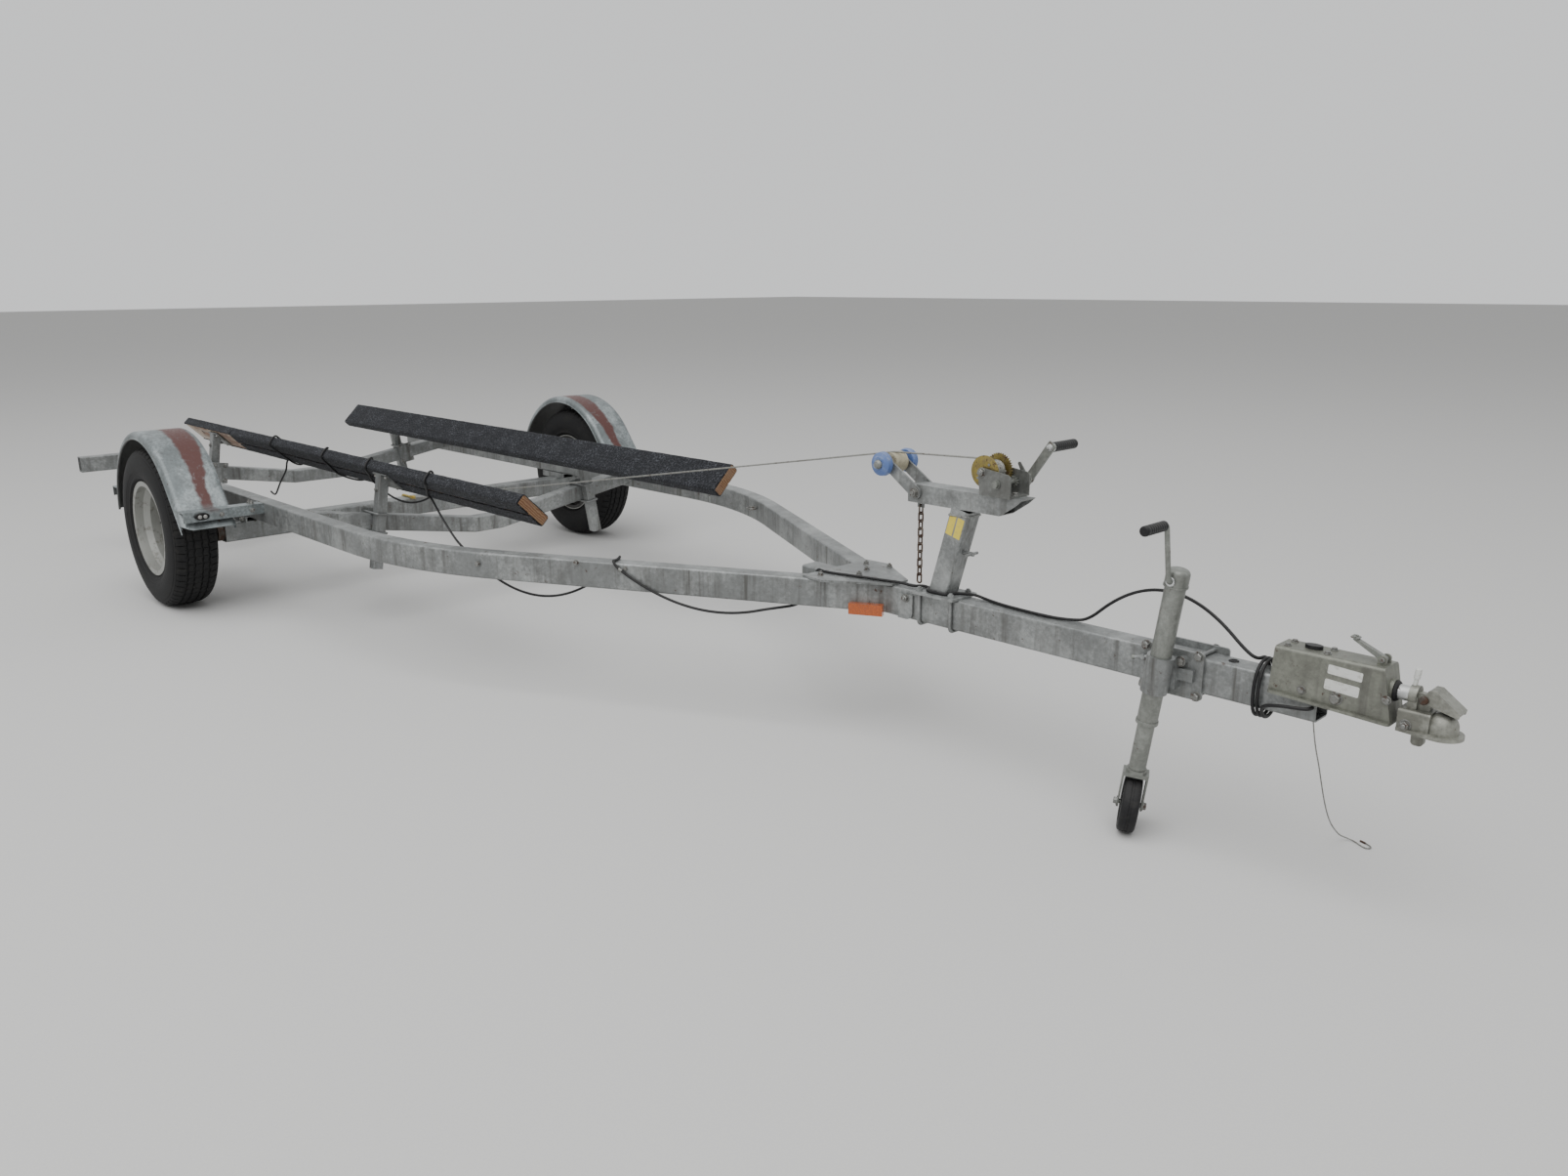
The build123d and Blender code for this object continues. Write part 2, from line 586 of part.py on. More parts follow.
# Chain that hangs from the lug
LINK_ROD = 2.5
LINK_LENGTH = 32
LINK_WIDTH = 19
LINK_PITCH = LINK_LENGTH - 4 * LINK_ROD - WELD_GAP
CHAIN_LINKS = 10


def chain_link(centre, turned_by):
    """One link of bent rod with six flat sides, standing upright."""
    high = LINK_LENGTH / 2 - LINK_ROD
    wide = LINK_WIDTH / 2 - LINK_ROD
    cut = wide * 0.55
    ring = [(0, wide, high - cut), (0, wide - cut, high), (0, cut - wide, high), (0, -wide, high - cut)]
    ring += [(0, y, -z) for _, y, z in reversed(ring)]
    path = Polyline((0, wide, 0), *ring, close=True)
    section = Plane(origin=(0, wide, 0), x_dir=(1, 0, 0), z_dir=(0, 0, 1)) * RegularPolygon(LINK_ROD, 6)
    link = sweep(section, path=path, transition=Transition.RIGHT)
    return Pos(*centre) * Rot(0, 0, turned_by) * link


chain = []
first_link_z = lug_low + 9 - (LINK_HOLE - LINK_ROD - WELD_GAP) - LINK_LENGTH / 2 + LINK_ROD
for index in range(CHAIN_LINKS):
    link_z = first_link_z - index * LINK_PITCH
    chain.append(chain_link((CHAIN_X, 0, link_z), 90 * (index % 2)))
keep("winch_chain", Compound(chain))

# Bow roller between two flat arms
ROLLER_HALF = 56
ROLLER_WAIST = 25
ARM_PLATE = 6
axle_hole = 8
plate_in = ARM_WIDTH / 2 + WELD_GAP
roller_arm_line = make_hull(
    [
        *(Pos(ROLLER_X, ROLLER_Z) * Circle(16)).edges(),
        *(Pos(ARM_REAR + 30, ARM_TOP - 22) * Circle(18)).edges(),
    ]
)
plate_plane = Plane(origin=(0, plate_in, 0), x_dir=(1, 0, 0), z_dir=(0, -1, 0))
roller_plates = extrude(plate_plane * roller_arm_line, -ARM_PLATE)
roller_plates += mirror(roller_plates, about=Plane.XZ)
roller_plates += rod((ROLLER_X, -ROLLER_HALF - 24, ROLLER_Z), (ROLLER_X, ROLLER_HALF + 24, ROLLER_Z), axle_hole)
keep("roller_bracket", roller_plates)
roller_span = plate_in - 6
waist_profile = [
    (-roller_span, axle_hole + PIN_GAP),
    (-roller_span, 29),
    (0, ROLLER_WAIST),
    (roller_span, 29),
    (roller_span, axle_hole + PIN_GAP),
]
keep("bow_roller", turned(waist_profile, ROLLER_X, ROLLER_Z))
disc_in = plate_in + ARM_PLATE + 6
end_profile = [
    (disc_in, axle_hole + PIN_GAP),
    (disc_in, 30),
    (disc_in + 6, 34),
    (disc_in + 20, 32),
    (disc_in + 26, 20),
    (disc_in + 26, axle_hole + PIN_GAP),
]
end_disc = turned(end_profile, ROLLER_X, ROLLER_Z)
keep("roller_end_discs", Compound([end_disc, mirror(end_disc, about=Plane.XZ)]))

# Hand winch with its toothed wheel and pinion
DRUM_X = ARM_FRONT - 99
WINCH_DRUM_Z = ARM_TOP + 60
FRAME_HALF = 43
FRAME_SHEET = 4
FRAME_FRONT = DRUM_X + 90
GEAR_TEETH = 38
PINION_TEETH = 12
GEAR_MODULE = 2.184
GEAR_WIDTH = 5
GEAR_LINE_ANGLE = -28.44
WINCH_PIN = 7
gear_line = math.radians(GEAR_LINE_ANGLE)
gear_distance = GEAR_MODULE * (GEAR_TEETH + PINION_TEETH) / 2
CRANK_X = DRUM_X + gear_distance * math.cos(gear_line)
CRANK_Z = WINCH_DRUM_Z + gear_distance * math.sin(gear_line)

cheek_plane = Plane(origin=(0, FRAME_HALF, 0), x_dir=(1, 0, 0), z_dir=(0, -1, 0))
cheek_line = make_hull(
    [
        *(Pos(DRUM_X, WINCH_DRUM_Z) * Circle(12)).edges(),
        *Polyline(
            (DRUM_X - 5, ARM_TOP), (FRAME_FRONT, ARM_TOP), (FRAME_FRONT, ARM_TOP + 54), (FRAME_FRONT - 8, ARM_TOP + 61),
            close=True,
        ).edges(),
    ]
)
cheek = extrude(cheek_plane * cheek_line, FRAME_SHEET)
frame = cheek + mirror(cheek, about=Plane.XZ)
frame += box(DRUM_X - 5, FRAME_FRONT, -FRAME_HALF, FRAME_HALF, ARM_TOP, ARM_TOP + FRAME_SHEET)
frame -= rod((CRANK_X, -FRAME_HALF - 5, CRANK_Z), (CRANK_X, FRAME_HALF + 5, CRANK_Z), WINCH_PIN + PIN_GAP)
frame += rod((DRUM_X, -FRAME_HALF - 6, WINCH_DRUM_Z), (DRUM_X, FRAME_HALF + 6, WINCH_DRUM_Z), WINCH_PIN)
# The pawl stands on the left cheek
pawl_line = make_hull(
    [
        *(Pos(FRAME_FRONT - 16, ARM_TOP + 48) * Circle(7)).edges(),
        *(Pos(CRANK_X + 6, ARM_TOP + 80) * Circle(4)).edges(),
    ]
)
frame += extrude(cheek_plane * pawl_line, -FRAME_SHEET)
keep("winch_frame", frame)


def toothed_wheel(teeth, phase):
    """A flat toothed outline; phase is the angle of one tooth's middle."""
    pitch = GEAR_MODULE * teeth / 2
    tip = pitch + 0.85 * GEAR_MODULE
    root = pitch - 1.15 * GEAR_MODULE
    tip_half = math.degrees(0.3 * GEAR_MODULE / tip)
    root_half = math.degrees(1.0 * GEAR_MODULE / root)
    points = []
    for tooth in range(teeth):
        middle = phase + tooth * 360 / teeth
        for radius, angle in (
            (root, middle - root_half), (tip, middle - tip_half), (tip, middle + tip_half), (root, middle + root_half)
        ):
            points.append((radius * math.cos(math.radians(angle)), radius * math.sin(math.radians(angle))))
    return make_face(Polyline(*points, close=True))


FLANGE_HALF = 34
FLANGE_RADIUS = 42.5
SPOOL_RADIUS = 14
drum_bore = WINCH_PIN + PIN_GAP
drum_outline = [
    (-FLANGE_HALF, drum_bore),
    (-FLANGE_HALF, FLANGE_RADIUS * 0.7),
    (-FLANGE_HALF + 3, FLANGE_RADIUS),
    (-FLANGE_HALF + 6, FLANGE_RADIUS),
    (-FLANGE_HALF + 3, FLANGE_RADIUS * 0.7),
    (-FLANGE_HALF + 3, SPOOL_RADIUS),
    (FLANGE_HALF - GEAR_WIDTH + 1, SPOOL_RADIUS),
    (FLANGE_HALF - GEAR_WIDTH + 1, drum_bore),
]
gear_plane = Plane(origin=(DRUM_X, FLANGE_HALF, WINCH_DRUM_Z), x_dir=(1, 0, 0), z_dir=(0, -1, 0))
gear = extrude(gear_plane * (toothed_wheel(GEAR_TEETH, GEAR_LINE_ANGLE) - Circle(drum_bore)), GEAR_WIDTH)
keep("winch_drum", turned(drum_outline, DRUM_X, WINCH_DRUM_Z) + gear)

# Turns of wire on the drum
WIRE_RADIUS = 2.5
WIRE_TURNS = 10
coil_low = -FLANGE_HALF + 6.3
coil_pitch = (FLANGE_HALF - GEAR_WIDTH - WELD_GAP - coil_low) / WIRE_TURNS
COIL_RADIUS = 27
coil_outline = [(coil_low, SPOOL_RADIUS + WELD_GAP)]
for index in range(WIRE_TURNS):
    coil_outline.append((coil_low + index * coil_pitch, COIL_RADIUS - WIRE_RADIUS))
    coil_outline.append((coil_low + (index + 0.5) * coil_pitch, COIL_RADIUS))
coil_outline.append((coil_low + WIRE_TURNS * coil_pitch, COIL_RADIUS - WIRE_RADIUS))
coil_outline.append((coil_low + WIRE_TURNS * coil_pitch, SPOOL_RADIUS + WELD_GAP))
keep("wire_turns", turned(coil_outline, DRUM_X, WINCH_DRUM_Z))

# Crank with its pinion, bar and grip
PINION_WIDTH = GEAR_WIDTH + 2
CRANK_BAR_Y = 100
CRANK_REACH = 105
CRANK_ANGLE = 55
crank = rod((CRANK_X, -FRAME_HALF - 1, CRANK_Z), (CRANK_X, CRANK_BAR_Y, CRANK_Z), WINCH_PIN)
pinion_plane = Plane(origin=(CRANK_X, FLANGE_HALF + 1, CRANK_Z), x_dir=(1, 0, 0), z_dir=(0, -1, 0))
pinion_phase = GEAR_LINE_ANGLE + 180 + 180 / PINION_TEETH
crank += extrude(pinion_plane * toothed_wheel(PINION_TEETH, pinion_phase), PINION_WIDTH)
nut_plane = Plane(origin=(CRANK_X, -FRAME_HALF - 1, CRANK_Z), x_dir=(1, 0, 0), z_dir=(0, -1, 0))
crank += extrude(nut_plane * Circle(12), 2) + extrude(nut_plane * RegularPolygon(10, 6), 10)
crank += rod((CRANK_X, CRANK_BAR_Y - 12, CRANK_Z), (CRANK_X, CRANK_BAR_Y - 3, CRANK_Z), 13)
crank_turn = math.radians(CRANK_ANGLE)
crank_way = Vector(math.cos(crank_turn), 0, math.sin(crank_turn))
crank_root = Vector(CRANK_X, CRANK_BAR_Y, CRANK_Z)
crank += straight(crank_root - crank_way * 14, crank_root + crank_way * (CRANK_REACH + 13), Rectangle(6, 24))
crank_end = crank_root + crank_way * CRANK_REACH
GRIP_GAP = 12
GRIP_LENGTH = 100
crank += rod(crank_end, crank_end + Vector(0, GRIP_GAP, 0), 6)
keep("winch_crank", crank)
grip_start = crank_end + Vector(0, GRIP_GAP, 0)
keep("winch_grip", rod(grip_start, grip_start + Vector(0, GRIP_LENGTH, 0), 13))

# Winch wire, taut from the drum over the roller to its hook on the axle beam
HOOK_X = AXLE_TUBE_X + 72
HOOK_Y = -50
HOOK_ROD = 5
hook_z = beam_top + HOOK_ROD + WELD_GAP
off_drum = COIL_RADIUS + WELD_GAP + WIRE_RADIUS
off_roller = ROLLER_WAIST + WELD_GAP + WIRE_RADIUS
drum_fall = math.atan2(WINCH_DRUM_Z + off_drum - ROLLER_Z - off_roller, DRUM_X - ROLLER_X)
wire_start = Vector(DRUM_X - off_drum * math.sin(drum_fall), 0, WINCH_DRUM_Z + off_drum * math.cos(drum_fall))
wire_end = Vector(HOOK_X + 10, HOOK_Y, hook_z)
wire_fall = math.atan2(ROLLER_Z + off_roller - wire_end.Z, ROLLER_X - wire_end.X)
half_fall = (wire_fall + drum_fall) / 2
corner_reach = off_roller / math.cos((wire_fall - drum_fall) / 2)
wire_corner = Vector(ROLLER_X - corner_reach * math.sin(half_fall), 0, ROLLER_Z + corner_reach * math.cos(half_fall))
keep("winch_wire", bent_rod([wire_start, wire_corner, wire_end], WIRE_RADIUS, off_roller))
hook_points = [
    (HOOK_X + 10 - 3 * WELD_GAP, HOOK_Y, hook_z),
    (AXLE_TUBE_X - AXLE_TUBE / 2 - HOOK_ROD - WELD_GAP, HOOK_Y, hook_z),
    (AXLE_TUBE_X - AXLE_TUBE / 2 - HOOK_ROD - WELD_GAP, HOOK_Y, hook_z - 42),
]
hook = bent_rod(hook_points, HOOK_ROD, 15)
hook += box(HOOK_X - 26, HOOK_X - 4, HOOK_Y - 8, HOOK_Y + 8, hook_z - HOOK_ROD, hook_z + HOOK_ROD + 2)
keep("winch_hook", hook)

# Jack, leaning forward, on the right side of the drawbar
jack_lean = math.radians(JACK_LEAN)
jack_up = Vector(math.sin(jack_lean), 0, math.cos(jack_lean))
swivel = math.radians(JACK_SWIVEL)
# The wheel's axis is square to the leaning tube, so the wheel leans a little too
wheel_axis = Vector(
    math.cos(swivel) * math.cos(jack_lean), math.sin(swivel), -math.cos(swivel) * math.sin(jack_lean)
)
wheel_tilt = math.asin(abs(wheel_axis.Z))
jack_wheel_z = (
    (JACK_WHEEL_RADIUS - JACK_WHEEL_ROUND) * math.cos(wheel_tilt)
    + (JACK_WHEEL_WIDTH / 2 - JACK_WHEEL_ROUND) * math.sin(wheel_tilt)
    + JACK_WHEEL_ROUND
)
print("jack wheel centre", round(jack_wheel_z, 3), "axis", [round(v, 6) for v in wheel_axis])
jack_ground = Vector(JACK_FOOT_X, JACK_Y, jack_wheel_z)


def on_jack(distance):
    """A point on the jack's middle line, that far above the wheel's centre."""
    return jack_ground + jack_up * distance


jack_plane = Plane(origin=on_jack(0), x_dir=(0, 1, 0), z_dir=jack_up)
JACK_TOP = 600
JACK_OUTER_LOW = 215
JACK_CAP_RADIUS = 27
JACK_CAP = 44
outer_tube = extrude(jack_plane.offset(JACK_OUTER_LOW) * Circle(JACK_OUTER_RADIUS), JACK_TOP - 20 - JACK_OUTER_LOW)
cap_solid = extrude(jack_plane.offset(JACK_TOP - JACK_CAP) * Circle(JACK_CAP_RADIUS), JACK_CAP)
outer_tube += fillet(cap_solid.edges().sort_by(Axis.Z)[-1:], 13)
outer_tube -= extrude(jack_plane.offset(JACK_OUTER_LOW - 1) * Circle(JACK_INNER_RADIUS + 0.6), JACK_TOP - JACK_OUTER_LOW - 20)
keep("jack_outer_tube", outer_tube)
FORK_TOP = 88
FORK_SHEET = 4
FORK_STEM = 7.6
inner_low = FORK_TOP + FORK_STEM + PIN_GAP
inner_tube = extrude(jack_plane.offset(inner_low) * Circle(JACK_INNER_RADIUS), 330)
inner_tube -= extrude(jack_plane.offset(inner_low + 6) * Circle(JACK_INNER_RADIUS - 3), 330)
keep("jack_inner_tube", inner_tube)
FORK_PIN = 6
fork_half = JACK_WHEEL_WIDTH / 2 + 5
bridge_low = FORK_TOP - 10
fork = extrude(jack_plane.offset(FORK_TOP) * Circle(JACK_OUTER_RADIUS), FORK_STEM)
fork_plate = make_hull([*Circle(14).edges(), *(Pos(0, FORK_TOP - 4) * Rectangle(40, 8)).edges()])
for sign in (-1, 1):
    side_plane = Plane(
        origin=jack_ground + wheel_axis * (sign * fork_half), x_dir=jack_up.cross(wheel_axis), z_dir=wheel_axis
    )
    fork += extrude(side_plane * fork_plate, sign * FORK_SHEET)
bridge_plane = Plane(origin=jack_ground + jack_up * bridge_low, x_dir=wheel_axis, z_dir=jack_up)
fork += extrude(bridge_plane * Rectangle(2 * (fork_half + FORK_SHEET), 40), FORK_TOP - bridge_low)
pin_half = fork_half + FORK_SHEET + 6
fork += extrude(Plane(origin=jack_ground - wheel_axis * pin_half, z_dir=wheel_axis) * Circle(FORK_PIN), 2 * pin_half)
keep("jack_fork", fork)
wheel_plane = Plane(origin=jack_ground - wheel_axis * (JACK_WHEEL_WIDTH / 2), z_dir=wheel_axis)
jack_wheel = extrude(wheel_plane * (Circle(JACK_WHEEL_RADIUS) - Circle(FORK_PIN + PIN_GAP)), JACK_WHEEL_WIDTH)
jack_wheel = fillet(jack_wheel.edges().sort_by(SortBy.LENGTH)[-2:], JACK_WHEEL_ROUND)
keep("jack_wheel", jack_wheel)

# Jack crank on the right side of its head
crank_at = on_jack(JACK_TOP - 26)
pivot_y = JACK_Y - JACK_CAP_RADIUS
crank_plane_y = pivot_y - 12
crank_tip = (crank_at.X - 14, crank_plane_y, crank_at.Z + 128)
jack_grip_y = pivot_y - 24
jack_crank = bent_rod(
    [
        (crank_at.X, pivot_y - WELD_GAP, crank_at.Z),
        (crank_at.X, crank_plane_y, crank_at.Z),
        crank_tip,
        (crank_tip[0], jack_grip_y, crank_tip[2]),
    ],
    6,
    7,
)
keep("jack_crank", jack_crank)
jack_grip = rod((crank_tip[0], jack_grip_y, crank_tip[2]), (crank_tip[0], jack_grip_y - 88, crank_tip[2]), 12)
keep("jack_grip", jack_grip)

# Jack clamp: a ring and a block between two plates bolted through over and under the drawbar
CLAMP_PLATE = 8
clamp_centre = on_jack((CHASSIS_MIDDLE - jack_wheel_z) / math.cos(jack_lean))
clamp_plane = Plane(origin=clamp_centre - jack_up * 45, x_dir=(0, 1, 0), z_dir=jack_up)
plate_x = clamp_centre.X
near_plate = box(plate_x - 67, plate_x + 88, -DRAWBAR_SIDE - CLAMP_PLATE, -DRAWBAR_SIDE, CHASSIS_BOTTOM - 16, CHASSIS_TOP + 12)
near_plate = fillet(near_plate.edges().filter_by(Axis.Y), 8)
clamp = extrude(clamp_plane * Circle(JACK_OUTER_RADIUS + 7), 90) + near_plate
clamp += box(plate_x - 34, plate_x + 34, JACK_Y + 20, -DRAWBAR_SIDE - 5, CHASSIS_MIDDLE - 36, CHASSIS_MIDDLE + 36)
far_plate = box(plate_x - 67, plate_x + 112, DRAWBAR_SIDE, DRAWBAR_SIDE + 6, CHASSIS_BOTTOM - 16, CHASSIS_TOP + 15)
clamp += fillet(far_plate.edges().filter_by(Axis.Y), 8)
BOLT_RADIUS = 5
for x in (plate_x - 56, plate_x + 76):
    for z in (CHASSIS_BOTTOM - BOLT_RADIUS - WELD_GAP, CHASSIS_TOP + BOLT_RADIUS + WELD_GAP):
        clamp += rod((x, -DRAWBAR_SIDE - CLAMP_PLATE - 8, z), (x, DRAWBAR_SIDE + 16, z), BOLT_RADIUS)
# Boss, strap and cross-handled screw on the near plate
boss_y = -DRAWBAR_SIDE - CLAMP_PLATE
clamp += rod((plate_x + 40, boss_y + 1, CHASSIS_MIDDLE + 32), (plate_x + 40, boss_y - 16, CHASSIS_MIDDLE + 32), 11)
clamp += box(plate_x + 32, plate_x + 70, boss_y - 12, boss_y + 1, CHASSIS_MIDDLE - 14, CHASSIS_MIDDLE + 14)
clamp += rod((plate_x - 55, boss_y + 1, CHASSIS_MIDDLE + 22), (plate_x - 55, boss_y - 20, CHASSIS_MIDDLE + 22), 6)
clamp += rod((plate_x - 35, boss_y - 15, CHASSIS_MIDDLE + 27), (plate_x - 80, boss_y - 15, CHASSIS_MIDDLE + 15), 4)
clamp -= extrude(jack_plane * Circle(JACK_OUTER_RADIUS + 0.2), 700)
keep("jack_clamp", clamp)

# Overrun coupling housing over the end of the drawbar
HOUSING_REAR = DRAWBAR_FRONT - 105
HOUSING_FRONT = DRAWBAR_FRONT + 152
HOUSING_TOP = CHASSIS_TOP + 69.5
LIP_REAR = CHASSIS_TOP - 36
LIP_FRONT = CHASSIS_TOP - 48
LIP_SHEET = 6
HOUSING_WALL = 5
FRONT_SLANT = 24
SHAFT_RADIUS = 16
SHAFT_Z = CHASSIS_TOP + SHAFT_RADIUS + 1.5
housing_inner = DRAWBAR_SIDE + WELD_GAP
housing_half = housing_inner + HOUSING_WALL


def crosswise(points, half_width):
    """A closed side outline, extruded over both sides of the middle."""
    plane = Plane(origin=(0, half_width, 0), x_dir=(1, 0, 0), z_dir=(0, -1, 0))
    return extrude(plane * make_face(Polyline(*points, close=True)), 2 * half_width)


housing = crosswise(
    [
        (HOUSING_REAR, LIP_REAR),
        (HOUSING_REAR + 6, HOUSING_TOP),
        (HOUSING_FRONT - FRONT_SLANT, HOUSING_TOP),
        (HOUSING_FRONT, LIP_FRONT),
    ],
    housing_half,
)
housing = fillet(housing.edges().filter_by(Axis.X).group_by(Axis.Z)[-1], 9)
lip = crosswise(
    [
        (HOUSING_REAR, LIP_REAR),
        (HOUSING_REAR, LIP_REAR + LIP_SHEET),
        (HOUSING_FRONT - 1, LIP_FRONT + LIP_SHEET),
        (HOUSING_FRONT, LIP_FRONT),
    ],
    housing_half + 10,
)
housing += fillet(lip.edges().filter_by(Axis.Z, tolerance=12), 9)
housing += rod((HOUSING_FRONT - 32, 0, SHAFT_Z), (HOUSING_FRONT - 10, 0, SHAFT_Z), SHAFT_RADIUS + 8)
housing -= crosswise(
    [
        (HOUSING_REAR + 30, LIP_FRONT - 20),
        (HOUSING_REAR + 30, HOUSING_TOP - 12),
        (HOUSING_FRONT - FRONT_SLANT - 12, HOUSING_TOP - 12),
        (HOUSING_FRONT - 10, LIP_FRONT - 20),
    ],
    housing_inner,
)
housing -= box(
    HOUSING_REAR - 10, DRAWBAR_FRONT, -housing_inner, housing_inner, LIP_FRONT - 20, CHASSIS_TOP + WELD_GAP
)
housing -= rod((HOUSING_FRONT - 40, 0, SHAFT_Z), (HOUSING_FRONT, 0, SHAFT_Z), SHAFT_RADIUS + 0.5)
LEVER_X = HOUSING_FRONT - 39
LEVER_Z = HOUSING_TOP + 9
LEVER_HALF = 6.5
LEVER_PIN = 4
for side in (-1, 1):
    inner_y, outer_y = sorted((side * (LEVER_HALF + 2), side * (LEVER_HALF + 8)))
    lug = box(LEVER_X - 9, LEVER_X + 9, inner_y, outer_y, HOUSING_TOP - 2, LEVER_Z + 9)
    housing += fillet(lug.edges().filter_by(Axis.Y).group_by(Axis.Z)[-1], 8)
housing -= rod((LEVER_X, -20, LEVER_Z), (LEVER_X, 20, LEVER_Z), LEVER_PIN + PIN_GAP / 8)
keep("coupling_housing", housing)
CAP_X = HOUSING_REAR + 74
keep("filler_cap", Pos(CAP_X, 0, HOUSING_TOP) * extrude(Ellipse(19, 12), 8))

# Draw shaft and coupling head
SHAFT_END = BALL_X - 57
keep("draw_shaft", rod((HOUSING_REAR + 60, 0, SHAFT_Z), (SHAFT_END, 0, SHAFT_Z), SHAFT_RADIUS))
BALL_BORE = 25.5
HEAD_LOW = CHASSIS_TOP - 56
HEAD_TOP = HEAD_LOW + 48
HEAD_REAR = BALL_X - 77
HEAD_HALF = 30
CAVITY_Z = HEAD_LOW + 20
DOME_RADIUS = 31
RIM_SHEET = 8
HANDLE_X = BALL_X - 33
PIVOT_RADIUS = 3.5
LUG_HALF = 9
rim_outline = make_hull(
    [
        *(Pos(BALL_X, 0) * Circle(HEAD_RIM_RADIUS)).edges(),
        *(Pos(HEAD_REAR + 5, 0) * Rectangle(10, 2 * HEAD_HALF + 4)).edges(),
    ]
)
head = extrude(Pos(0, 0, HEAD_LOW) * rim_outline, RIM_SHEET)
block = box(HEAD_REAR, BALL_X - 16, -HEAD_HALF, HEAD_HALF, HEAD_LOW, HEAD_TOP)
head += fillet(block.edges().filter_by(Axis.X).group_by(Axis.Z)[-1], 7)
head += Pos(BALL_X, 0, (HEAD_LOW + CAVITY_Z) / 2) * Cylinder(DOME_RADIUS, CAVITY_Z - HEAD_LOW)
head += Pos(BALL_X, 0, CAVITY_Z) * Sphere(DOME_RADIUS)
head -= box(BALL_X - 60, BALL_X + 60, -60, 60, HEAD_LOW - 60, HEAD_LOW)
collar_rear = SHAFT_END - 8
collar_front = SHAFT_END + 8
head += rod((collar_rear, 0, SHAFT_Z), (collar_front, 0, SHAFT_Z), SHAFT_RADIUS + 5)
head += box(collar_rear, collar_front + 2, -18, 18, HEAD_TOP - 5, SHAFT_Z)
head += box(collar_front - 2, HANDLE_X + 9, -LUG_HALF, LUG_HALF, HEAD_TOP - 5, SHAFT_Z + 8)
foot_lug = box(BALL_X - 53, BALL_X - 29, -8, 8, HEAD_LOW - 31, HEAD_LOW + 2)
head += fillet(foot_lug.edges().filter_by(Axis.Y).group_by(Axis.Z)[0], 8)
head -= rod((HANDLE_X, -20, SHAFT_Z), (HANDLE_X, 20, SHAFT_Z), PIVOT_RADIUS + PIN_GAP / 8)
head -= rod((collar_rear - 10, 0, SHAFT_Z), (SHAFT_END, 0, SHAFT_Z), SHAFT_RADIUS + 0.1)
head -= Pos(BALL_X, 0, CAVITY_Z) * Sphere(BALL_BORE)
head -= Pos(BALL_X, 0, CAVITY_Z - 30) * Cylinder(BALL_BORE, 60)
keep("coupling_head", head)

# Coupling handle: a folded cover whose cheeks reach down beside the dome
HANDLE_HALF = 22
HANDLE_SHEET = 4
cheek_points = [(-9, -4), (8, 22), (20, 22), (68, -14), (66, -24), (48, -20), (6, -8)]
hollow_points = [(-24, -40), (-24, 18), (19, 18), (64, -15.5), (80, -40)]
handle = crosswise([(HANDLE_X + x, SHAFT_Z + z) for x, z in cheek_points], HANDLE_HALF)
handle -= crosswise([(HANDLE_X + x, SHAFT_Z + z) for x, z in hollow_points], HANDLE_HALF - HANDLE_SHEET)
handle += rod((HANDLE_X, -HANDLE_HALF, SHAFT_Z), (HANDLE_X, HANDLE_HALF, SHAFT_Z), PIVOT_RADIUS)
keep("coupling_handle", handle)

# Brake lever between two lugs on top of the housing
LEVER_REACH = (-62, 31)
lever_line = make_hull(
    [
        *(Pos(LEVER_X, LEVER_Z) * Circle(6)).edges(),
        *(Pos(LEVER_X + LEVER_REACH[0], LEVER_Z + LEVER_REACH[1]) * Circle(2.6)).edges(),
    ]
)
lever_plane = Plane(origin=(0, LEVER_HALF, 0), x_dir=(1, 0, 0), z_dir=(0, -1, 0))
lever = extrude(lever_plane * lever_line, 2 * LEVER_HALF)
lug_outer = LEVER_HALF + 8
lever += rod((LEVER_X, -lug_outer, LEVER_Z), (LEVER_X, lug_outer, LEVER_Z), LEVER_PIN)
keep("brake_lever", lever)

# Breakaway cable, from the drawbar's open end down to a small loop on the ground
BREAKAWAY_RADIUS = 1.6
cable_x = DRAWBAR_FRONT - 14
breakaway_top = (cable_x, -6, CHASSIS_BOTTOM - WELD_GAP)
BREAKAWAY_FALL = [
    (2, 4, 330), (3, 22, 288), (4, 46, 246), (4, 70, 200), (6, 92, 152), (8, 116, 108), (8, 148, 70), (6, 186, 40)
]
GROUND_LOOP = [(6, 218, 16), (14, 238, 5), (34, 240, 2), (54, 226, 2), (70, 221, 2), (76, 236, 2), (60, 247, 2), (42, 252, 2)]
breakaway = [breakaway_top] + [(cable_x + x, y, z) for x, y, z in BREAKAWAY_FALL + GROUND_LOOP]
keep("breakaway_cable", cord_tube("breakaway_cable", breakaway, BREAKAWAY_RADIUS))

# Light cable: out of the drawbar's side, coiled round the drawbar, along it to the winch post,
# over and under the right rail and wound round the right bunk
CABLE_RADIUS = 4
CABLE_SEAT = CABLE_RADIUS + WELD_GAP
on_bar = CHASSIS_TOP + CABLE_SEAT
on_plate = base_top + CABLE_SEAT
lip_x = DRAWBAR_FRONT - 8
light_route = [
    (lip_x, -DRAWBAR_SIDE - WELD_GAP, 401),
    (lip_x - 0.2, -50, 401),
    (lip_x - 26, -57, 400),
    (lip_x - 56, -58, 397),
    (lip_x - 86, -54, 390),
]
COIL_X = HOUSING_REAR - 9
COIL_PITCH = 10
COIL_STEPS = 23
coil_ring = [(-46, -32), (-22, -66), (22, -66), (46, -32), (46, 32), (22, 66), (-22, 66), (-46, 32)]
for step in range(COIL_STEPS):
    y, rise = coil_ring[step % 8]
    light_route.append((COIL_X - step * COIL_PITCH / 8, y, CHASSIS_MIDDLE + rise))
